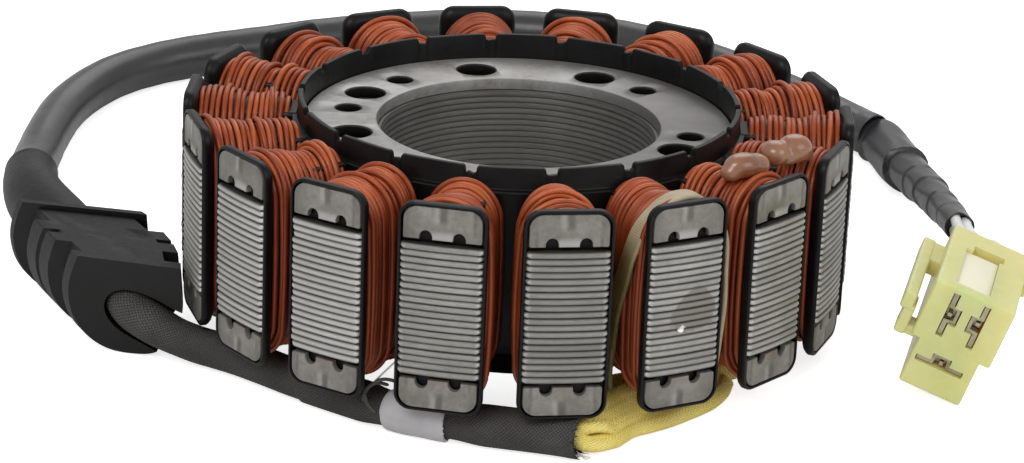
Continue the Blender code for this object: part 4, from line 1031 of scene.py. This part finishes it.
def makeTape(finish):
    # overlapped turns: each lap stands a step above the next one, and the lap edges run a little aslant
    line, lengths = routeLine((tape["start"],) + tapeRoute, 0.3 * mm)
    sides = tape["sides"]
    share = (lengths / lengths[-1])[:, None]
    turn = np.linspace(0.0, 2 * math.pi, sides, endpoint=False)[None, :]
    slanted = share + 0.018 * np.sin(turn + 0.8)
    radius = np.full((len(line), sides), tape["radius"])
    for at, drop in tape["laps"]:
        radius -= drop * smoothStep(at - 0.004, at + 0.004, slanted)
    radius += 0.07 * np.sin(turn * 3 + share * 23.0) + 0.05 * np.sin(turn * 5 - share * 31.0)
    crease = np.exp(-(angleFrom(turn, 2.4 + share * 3.0) / 0.28) ** 2)
    radius -= 0.22 * crease * smoothStep(0.02, 0.1, share)
    points = tubeGrid(line, np.zeros(len(line)), sides, radius * mm)
    mouth = innerRings(line, points[-1], ((0.96, -0.08), (0.88, 0.1), (0.85, 2.0)))
    shell = Shell().add(np.concatenate([points, mouth]))
    return addPiece("tapeWrap", shell.mesh("tapeWrap", 40.0), finish, "black_tape", "tape_wrap")


plug = {"face": (75.83, -40.35, 15.86), "rollDeg": 20.0, "yawDeg": -14.6, "length": 24.6,
        "halfWidths": (7.3, 7.15), "halfHeights": (5.85, 5.7), "keySpan": (-5.85, 5.45), "keyFoot": -14.7,
        "keyLength": 18.0, "edge": 0.55}
plugMatrix = (Matrix.Translation(Vector(plug["face"]) * mm)
              @ Matrix.Rotation(math.radians(plug["yawDeg"]), 4, "Z")
              @ Matrix.Rotation(math.radians(plug["rollDeg"]), 4, "Y"))
blades = {"a": (-2.95, 0.45, 90.0), "b": (2.6, 0.45, -90.0), "c": (-0.6, -9.15, 0.0)}


def inPlug(points):
    # from the plug's frame in millimetres (x across, y from its face back, z up) to the floor's
    matrix = np.array(plugMatrix)
    return np.asarray(points, float) * mm @ matrix[:3, :3].T + matrix[:3, 3]


def makeWires(finish):
    start = np.array(tapeRoute[-1]) + (0.0, 1.5, 0.0)
    ends = {"a": (-2.3, 2.1), "b": (2.4, 2.1), "c": (-0.5, -3.2)}
    made = []
    for letter, (x, z) in ends.items():
        end = inPlug((x, 17.6, z)) / mm
        turn = math.atan2(z, x) - math.radians(plug["rollDeg"])
        first = start + 1.4 * np.array((math.cos(turn), 0.0, math.sin(turn)))
        leave = first + (0.0, -8.0, 0.0)
        arrive = inPlug((x, plug["length"] + 6.0, z)) / mm
        route = [first, (first + leave) / 2, leave * 0.8 + arrive * 0.2, (leave + arrive) / 2,
                 leave * 0.2 + arrive * 0.8, (arrive + end) / 2, end]
        line, _ = routeLine(route, 0.6 * mm)
        points = tubeGrid(line, np.full(len(line), 0.98) * mm, 28)
        name = "wire" + letter.upper()
        mesh = Shell().add(points).mesh(name, 50.0)
        made.append(addPiece(name, mesh, finish, "white_insulation", "wire_" + letter))
    return made


def boxShell(low, high):
    # eight corners as two rings
    (x0, y0, z0), (x1, y1, z1) = low, high
    ends = [[(x0, y, z0), (x1, y, z0), (x1, y, z1), (x0, y, z1)] for y in (y0, y1)]
    return Shell().add(inPlug(np.array(ends)))


def softBox(low, high, edge=0.4, farther=1.0):
    # a box with rounded corners and softened ends; its far end may be narrower
    (x0, y0, z0), (x1, y1, z1) = low, high
    middle, half = np.array([(x0 + x1) / 2, (z0 + z1) / 2]), ((x1 - x0) / 2, (z1 - z0) / 2)
    rows = []
    for y, inset in ((y0, edge), (y0 + edge * 0.13, edge * 0.5), (y0 + edge * 0.5, edge * 0.13),
                     (y0 + edge, 0.0), (y1 - edge, 0.0), (y1 - edge * 0.5, edge * 0.13),
                     (y1 - edge * 0.13, edge * 0.5), (y1, edge)):
        loop = roundedLoop(half[0] - inset, half[1] - inset, max(edge - inset, 0.06) * 0.98, 5) + middle
        loop = loop * (1.0 + (farther - 1.0) * (y - y0) / (y1 - y0))
        rows.append(np.column_stack([loop[:, 0], np.full(len(loop), y), loop[:, 1]]))
    return Shell().add(inPlug(np.array(rows)))


def bladeLoop(grow=0.0):
    # a hat section seen end on: two flat wings joined by a raised middle
    if grow:
        return np.array([(-4.1 - grow, -0.4 - grow), (4.1 + grow, -0.4 - grow), (4.1 + grow, 0.4 + grow),
                         (1.5 + grow, 0.4 + grow), (1.5 + grow, 1.75 + grow), (-1.5 - grow, 1.75 + grow),
                         (-1.5 - grow, 0.4 + grow), (-4.1 - grow, 0.4 + grow)])
    return np.array([(-4.1, -0.4), (-1.2, -0.4), (-1.0, 1.2), (1.0, 1.2), (1.2, -0.4), (4.1, -0.4),
                     (4.1, 0.4), (1.7, 0.4), (1.5, 1.75), (-1.5, 1.75), (-1.7, 0.4), (-4.1, 0.4)])


def bladeRows(letter, loop, front, back):
    x, z, deg = blades[letter]
    turn = math.radians(deg)
    across = loop[:, 0] * math.cos(turn) + loop[:, 1] * math.sin(turn) + x
    up = -loop[:, 0] * math.sin(turn) + loop[:, 1] * math.cos(turn) + z
    return inPlug(np.array([np.column_stack([across, np.full(len(loop), y), up]) for y in (front, back)]))


def combined(name, base, changes):
    # joins and cuts closed forms with exact Booleans, and keeps the result as one mesh
    piece = bpy.data.objects.new(name, base.mesh(name))
    bpy.context.scene.collection.objects.link(piece)
    tools = []
    for number, (operation, shell) in enumerate(changes):
        tool = bpy.data.objects.new(f"{name}Tool{number}", shell.mesh(f"{name}Tool{number}"))
        bpy.context.scene.collection.objects.link(tool)
        step = piece.modifiers.new(f"step{number}", "BOOLEAN")
        step.operation, step.solver, step.object = operation, "EXACT", tool
        tools.append(tool)
    bpy.context.view_layer.update()
    mesh = bpy.data.meshes.new_from_object(piece.evaluated_get(bpy.context.evaluated_depsgraph_get()))
    for obj in (piece, *tools):
        bpy.data.objects.remove(obj)
    mesh.name = name
    mesh.shade_smooth()
    mesh.set_sharp_from_angle(angle=math.radians(32.0))
    return mesh


def flatFaced(piece):
    # keeps the shading of large flat faces even beside their small roundings
    piece.modifiers.new("shading", "WEIGHTED_NORMAL").keep_sharp = True
    return piece


def bevelled(piece, width, segments=2, deg=35.0):
    edge = piece.modifiers.new("edges", "BEVEL")
    edge.width, edge.segments = width, segments
    edge.limit_method, edge.angle_limit = "ANGLE", math.radians(deg)
    edge.harden_normals = True
    return piece


def makePlug(finishes):
    p = plug
    w, h, length, edge = p["halfWidths"][0], p["halfHeights"][0], p["length"], p["edge"]
    left, right = p["keySpan"]
    body = softBox((-w, 0.0, -h), (w, length, h), edge, p["halfWidths"][1] / w)
    changes = [
        ("UNION", softBox((left, 0.02, p["keyFoot"]), (right, p["keyLength"], -h + 1.6), edge)),
        ("UNION", softBox((-11.1, 0.7, -2.1), (-8.85, length - 0.2, 1.3), 0.45)),
        ("UNION", softBox((-10.3, 0.8, -6.8), (-8.3, 6.0, -1.2), 0.4)),
        ("UNION", softBox((-9.6, 1.2, -6.7), (-6.4, 5.4, -4.9), 0.35)),
        ("UNION", softBox((-10.4, 16.6, -1.9), (-6.6, length - 0.5, 1.1), 0.3)),
        ("UNION", softBox((6.6, 13.8, 2.6), (8.3, 18.8, 5.2), 0.4)),
        ("DIFFERENCE", boxShell((-3.95, 2.1, 4.9), (2.25, 17.0, 7.0))),
        ("DIFFERENCE", boxShell((-2.7, 16.5, 1.4), (2.9, 18.9, 7.2))),
    ]
    for letter in blades:
        changes.append(("DIFFERENCE", Shell().add(bladeRows(letter, bladeLoop(0.22), -1.0, 12.0))))
    mesh = combined("plugHousing", body, changes)
    housing = flatFaced(addPiece("plugHousing", mesh, finishes[0], "ivory_nylon", "connector_housing"))
    rampMesh = softBox((-3.9, 2.2, 4.0), (2.2, 16.9, 5.05), 0.1).mesh("plugRamp", 30.0)
    ramp = addPiece("plugRamp", rampMesh, finishes[2], "ivory_nylon")
    terminals = []
    for letter in blades:
        name = "terminal" + letter.upper()
        shell = Shell().add(bladeRows(letter, bladeLoop(), 0.7, 9.6))
        leaf = np.array([(-1.05, -0.35), (1.05, -0.35), (0.85, 1.15), (-0.85, 1.15)])
        shell.add(bladeRows(letter, leaf, 2.4, 9.0))
        shell.add(bladeRows(letter, leaf * (0.35, 0.5) + (0.2, 0.1), 0.9, 3.0))
        bladeMesh = shell.mesh(name, 30.0)
        terminals.append(addPiece(name, bladeMesh, finishes[1], "tinned_brass", "terminal_" + letter))
    return [housing, ramp, *terminals]


# the grommet

grommet = {"front": ((-77.2, -16.6), (-58.6, -22.2)), "back": ((-91.2, 9.1), (-68.0, 3.2)), "top": 18.0,
           "bulge": 2.2,
           "lips": ((0.0, 0.10), (0.34, 0.49), (0.55, 0.70), (0.94, 1.0)), "groove": 3.0, "step": 0.8,
           "slot": 2.0, "edge": 0.38,
           "outline": ((0.0, 1.0), (-1.5, 0.8), (-2.3, 0.58), (-1.6, 0.34), (0.8, 0.15), (4.6, 0.035),
                       (9.4, 0.012), (-5.4, 0.06), (-1.9, 0.25), (0.0, 0.5), (0.0, 1.0))}


def grommetLoop(share, inset, top):
    # a cross-section at a share of the way back: round cheek and foot from a spline, flat top
    g = grommet
    left = (1 - share) * np.array(g["front"][0]) + share * np.array(g["back"][0])
    right = (1 - share) * np.array(g["front"][1]) + share * np.array(g["back"][1])
    right[0] += g["bulge"] * 4.0 * share * (1.0 - share)
    width = np.linalg.norm(right - left)
    across = (right - left) / width
    marks = np.array(g["outline"]) * (1.0, g["top"])
    marks[7:, 0] += width                             # the later marks count from the right edge
    ends = np.concatenate([marks[:1], marks, marks[-1:]])
    t = (np.arange(6) / 6.0)[None, :, None]
    p0, p1, p2, p3 = (ends[k:len(ends) - 3 + k][:, None, :] for k in range(4))
    fine = 0.5 * (2 * p1 + (p2 - p0) * t + (2 * p0 - 5 * p1 + 4 * p2 - p3) * t ** 2
                  + (3 * p1 - p0 - 3 * p2 + p3) * t ** 3)
    fine = np.concatenate([fine.reshape(-1, 2), marks[-1:]])
    along, height = fine[:, 0], np.maximum(fine[:, 1], 0.18)
    level = height / g["top"]
    along = along + np.where(along < width / 2, inset, -inset)
    height = height + inset * (1.0 - level) ** 2
    height = np.where(level > 0.995, top, height)
    height = np.minimum(height, top)
    ring = np.column_stack([left[0] + across[0] * along, left[1] + across[1] * along, height])
    count = 8
    shares = np.linspace(0.0, 1.0, count + 2)[1:-1, None]
    return np.concatenate([ring, ring[-1] + (ring[0] - ring[-1]) * shares])


def makeGrommet(finish):
    g, rows = grommet, []
    for index, (start, end) in enumerate(g["lips"]):
        outer = index in (0, len(g["lips"]) - 1)
        lipTop = g["top"] if outer else g["top"] - g["step"]
        low, floorTop = g["top"] - g["slot"], g["top"] - g["step"]
        if index == len(g["lips"]) - 1:
            rows.append(grommetLoop(start - 0.022, g["groove"], floorTop))
            rows.append(grommetLoop(start - 0.02, g["groove"], low))
        if index:
            rows.append(grommetLoop(start, g["groove"], low if index == len(g["lips"]) - 1 else floorTop))
        rows += [grommetLoop(start, 0.0, lipTop), grommetLoop(end, 0.0, lipTop)]
        if index == 0:
            rows += [grommetLoop(end, g["groove"], low), grommetLoop(end + 0.02, g["groove"], low)]
            rows.append(grommetLoop(end + 0.022, g["groove"], floorTop))
        elif index < len(g["lips"]) - 1:
            rows.append(grommetLoop(end, g["groove"], floorTop))
    shell = Shell().add(np.array(rows) * mm)
    line, _ = routeLine(sleeveRoute[:6], 1.0 * mm)
    pocket = Shell().add(tubeGrid(line, np.full(len(line), 4.75) * mm, 40))
    mesh = combined("grommetBody", shell, [("DIFFERENCE", pocket)])
    piece = addPiece("grommetBody", mesh, finish, "black_rubber", "grommet")
    return bevelled(piece, g["edge"] * mm, 2, 38.0)


# strap, resin caps and loose threads

strapPath = ((48.2, -7.4, -17.5), (48.6, -7.7, -13.9), (49.2, -8.0, -10.1), (50.2, -8.2, -4.5),
             (51.4, -8.2, 0.4),
             (52.9, -8.1, 4.8), (54.6, -7.8, 9.6), (55.2, -6.3, 13.9), (55.5, -3.4, 16.9), (55.5, 0.0, 18.05),
             (55.4, 3.6, 17.6), (55.3, 6.9, 14.7), (55.4, 9.0, 9.8), (55.4, 9.5, 3.0), (55.2, 9.5, -4.0),
             (55.0, 9.3, -10.0), (54.0, 8.9, -16.5))
strap = {"half": 1.75, "thick": 0.42, "carriers": 12, "slant": 1300.0}


def makeStrap(finish):
    # a flattened sleeve over coil 6: across its top, down its right side and aslant down its left side
    line, lengths = routeLine(strapPath, 0.3 * mm)
    forward = np.gradient(line, axis=0)
    forward /= np.linalg.norm(forward, axis=1, keepdims=True)
    away = line * (0.0, 1.0, 0.45)
    away /= np.linalg.norm(away, axis=1, keepdims=True)
    width = np.cross(away, forward)
    width /= np.linalg.norm(width, axis=1, keepdims=True)
    thick = np.cross(forward, width)
    loop = roundedLoop(strap["half"], strap["thick"], strap["thick"] * 0.95, 7)
    along = (lengths / mm)[:, None]
    swell = 0.72 + 0.46 * smoothStep(4.0, 20.0, along) - 0.24 * smoothStep(34.0, 46.0, along)
    roll = 0.12 * np.sin(lengths / mm * 0.5)[:, None] * np.abs(loop[None, :, 0]) / strap["half"]
    points = (line[:, None, :] + width[:, None, :] * (loop[None, :, 0] * swell * mm)[..., None]
              + thick[:, None, :] * ((loop[None, :, 1] + roll) * mm)[..., None])
    shell = Shell().add(onPole(6, points), tubeUv(len(loop), lengths))
    return addPiece("leadStrap", shell.mesh("leadStrap", 70.0), finish, "yellow_glass_braid", "lead_strap")


caps = {
    "jointCapA": (((37.3, -36.2, 19.4), (3.6, 2.5, 2.2), 28.0), ((39.5, -34.4, 19.0), (2.6, 2.3, 2.0), 10.0),
                  ((35.4, -37.6, 18.6), (2.0, 1.7, 1.5), 0.0)),
    "jointCapB": (((43.4, -28.3, 19.2), (2.7, 2.6, 2.2), 0.0), ((46.8, -26.4, 19.5), (3.2, 2.7, 2.5), 20.0),
                  ((45.1, -27.6, 18.6), (2.8, 2.2, 1.7), 10.0), ((48.6, -25.2, 18.4), (1.7, 1.8, 1.6), 0.0))}


def makeResinCap(name, finish):
    # lobes melted together: a voxel skin over overlapping ellipsoids, smoothed
    shell = Shell()
    rise = np.linspace(-math.pi / 2, math.pi / 2, 26)[1:-1, None]
    turn = np.linspace(0.0, 2 * math.pi, 40, endpoint=False)[None, :]
    for place, (a, b, c), deg in caps[name]:
        spin = math.radians(deg)
        cosine, sine = math.cos(spin), math.sin(spin)
        x, y = a * np.cos(rise) * np.cos(turn), b * np.cos(rise) * np.sin(turn)
        z = np.broadcast_to(c * np.sin(rise), x.shape)
        points = np.stack([x * cosine - y * sine, x * sine + y * cosine, z], -1)
        shell.add(leaned((points + place) * mm))
    piece = bpy.data.objects.new(name, shell.mesh(name))
    bpy.context.scene.collection.objects.link(piece)
    skin = piece.modifiers.new("skin", "REMESH")
    skin.mode, skin.voxel_size, skin.use_smooth_shade = "VOXEL", 0.2 * mm, True
    calm = piece.modifiers.new("calm", "SMOOTH")
    calm.factor, calm.iterations = 0.5, 22
    bpy.context.view_layer.update()
    mesh = bpy.data.meshes.new_from_object(piece.evaluated_get(bpy.context.evaluated_depsgraph_get()))
    bpy.data.objects.remove(piece)
    mesh.name = name
    mesh.shade_smooth()
    return addPiece(name, mesh, finish, "tan_resin", "joint_cap_" + name[-1].lower())


def strapFinish():
    # the same sleeve in painted light: olive painted shade where it hangs, beige where it lies in the light
    # over the coil
    f = Finish("strapBraid", roughness=0.45)
    around, along = f.surface()
    first, second = around * 24.0 + along * 2400.0, around * 24.0 - along * 2400.0
    weave = (first.fract() - 0.5).size() + (second.fract() - 0.5).size()
    cloud = f.noise(150, 3, 0.6)
    # painted shade: a darker olive copy of the sleeve for where it hangs
    shadedOlive = f.colours(weave * 0.25 + cloud * 0.6, (0.25, (0.13, 0.105, 0.035)), (0.7, (0.27, 0.22, 0.085)))
    litBeige = f.colours(weave * 0.25 + cloud * 0.6, (0.25, (0.34, 0.27, 0.17)), (0.7, (0.58, 0.50, 0.34)))
    # painted highlight along both edges of the strap
    rim = 1.0 - ((around - 0.5).size() - 0.5).size().ramp(0.02, 0.05)
    f.set(baseColor=f.mix(rim * 0.5, f.mix(along.ramp(0.024, 0.032), shadedOlive, litBeige), (0.60, 0.54, 0.30)))
    return f.bump(weave, 0.00005).material


def makeStrands(name, routes, radius, finish, slotName, sides=8):
    # thin threads along their routes, half as thick at both ends
    shell = Shell()
    for route in routes:
        line, _ = routeLine(route, 0.35 * mm)
        slim = np.full(len(line), radius * mm)
        slim[[0, -1]] *= 0.5
        shell.add(tubeGrid(line, slim, sides))
    return addPiece(name, shell.mesh(name, 60.0), finish, slotName)


yellowBraid = braidFinish("yellowBraid", 9.0, ribbon["carriers"], ribbon["slant"], (0.44, 0.29, 0.035),
                          (0.80, 0.62, 0.115),
                          (0.93, 0.82, 0.29), 0.5)
strapBraid = strapFinish()
blackBraid = braidFinish("blackBraid", 9.0, sleeve["carriers"], sleeve["slant"], (0.006, 0.005, 0.005),
                         (0.010, 0.009, 0.008), (0.080, 0.074, 0.067), 0.62)
rubber = plainFinish("blackRubber", (0.003, 0.0026, 0.0025), (0.008, 0.007, 0.0066), 0.42, 900, 0.00005,
                     specularIorLevel=0.3)
sheathPvc = plainFinish("sheathPvc", (0.018, 0.017, 0.017), (0.032, 0.030, 0.030), 0.26, 500, 0.00003,
                        coatWeight=0.2, coatRoughness=0.25)
tapeVinyl = plainFinish("tapeVinyl", (0.020, 0.019, 0.021), (0.036, 0.034, 0.038), 0.22, 300, 0.00005)
bandGrey = plainFinish("bandGrey", (0.40, 0.39, 0.40), (0.52, 0.51, 0.52), 0.42, 600, 0.00004)
wireWhite = plainFinish("wireWhite", (0.74, 0.74, 0.74), (0.84, 0.84, 0.84), 0.25, 300, 0.00002)
nylon = plainFinish("ivoryNylon", (0.62, 0.58, 0.20), (0.73, 0.68, 0.30), 0.22, 500, 0.00002, coatWeight=0.2,
                    subsurfaceWeight=0.25)
nylonPale = plainFinish("paleNylon", (0.78, 0.76, 0.58), (0.84, 0.81, 0.64), 0.3, 500, 0.00002)
brass = plainFinish("tinnedBrass", (0.26, 0.23, 0.13), (0.58, 0.54, 0.40), 0.2, 900, 0.00003, metallic=0.85)
threadDark = plainFinish("threadDark", (0.03, 0.027, 0.025), (0.10, 0.09, 0.08), 0.5)
threadPale = plainFinish("threadPale", (0.45, 0.42, 0.38), (0.62, 0.60, 0.56), 0.5)

braided, braidedLine = makeBraidedSleeve(blackBraid)
band = makeMarkerBand(bandGrey)
phasePieces = {letter: makePhaseSleeve(letter, yellowBraid) for letter in phaseRoutes}
grommetPiece = makeGrommet(rubber)
boot = makeBoot(rubber)
sheath, sheathLine, sheathLengths = makeSheath(sheathPvc)
tape = makeTape(tapeVinyl)
wires = makeWires(wireWhite)
plugPieces = makePlug((nylon, brass, nylonPale))
print("lead laid")

makeStrap(strapBraid)
resin = resinFinish()
for capName in caps:
    makeResinCap(capName, resin)
makeStrands("lacingThread", (
    ((-25.3, -47.5, 4.8), (-25.6, -49.6, 6.6), (-24.6, -50.2, 9.0), (-22.6, -50.0, 10.2), (-20.8, -49.4, 9.8),
     (-19.6, -48.2, 8.6)),
    ((-23.6, -50.6, 4.4), (-24.9, -50.9, 6.2), (-25.2, -50.4, 8.4), (-23.4, -49.6, 9.4), (-21.4, -48.8, 8.6)),
), 0.32, threadDark, "black_glass_braid")
makeStrands("lacingEnds", (
    ((-24.2, -49.8, 9.2), (-22.2, -49.4, 11.2), (-20.2, -48.8, 13.0), (-18.4, -48.0, 14.6)),
), 0.16, threadPale, "black_glass_braid")
fibres = []
for k in range(11):
    turnAt = shuffle.uniform(-2.6, -0.4)
    root = np.array((10.6, -58.5, 3.6)) + np.array((0.2, 2.9 * math.cos(turnAt), 3.1 * math.sin(turnAt)))
    reach = shuffle.uniform(0.4, 1.6)
    sway = shuffle.normal(0.0, 0.5, 3)
    tip = root + np.array((reach, -0.5, 0.0)) + sway
    tip[2] = max(tip[2], 0.3)
    fibres.append((root - (1.0, 0, 0), root, (root + tip) / 2 + sway * 0.3, tip))
makeStrands("frayedFibres", fibres, 0.07, threadPale, "black_glass_braid", 5)
print("small pieces made")
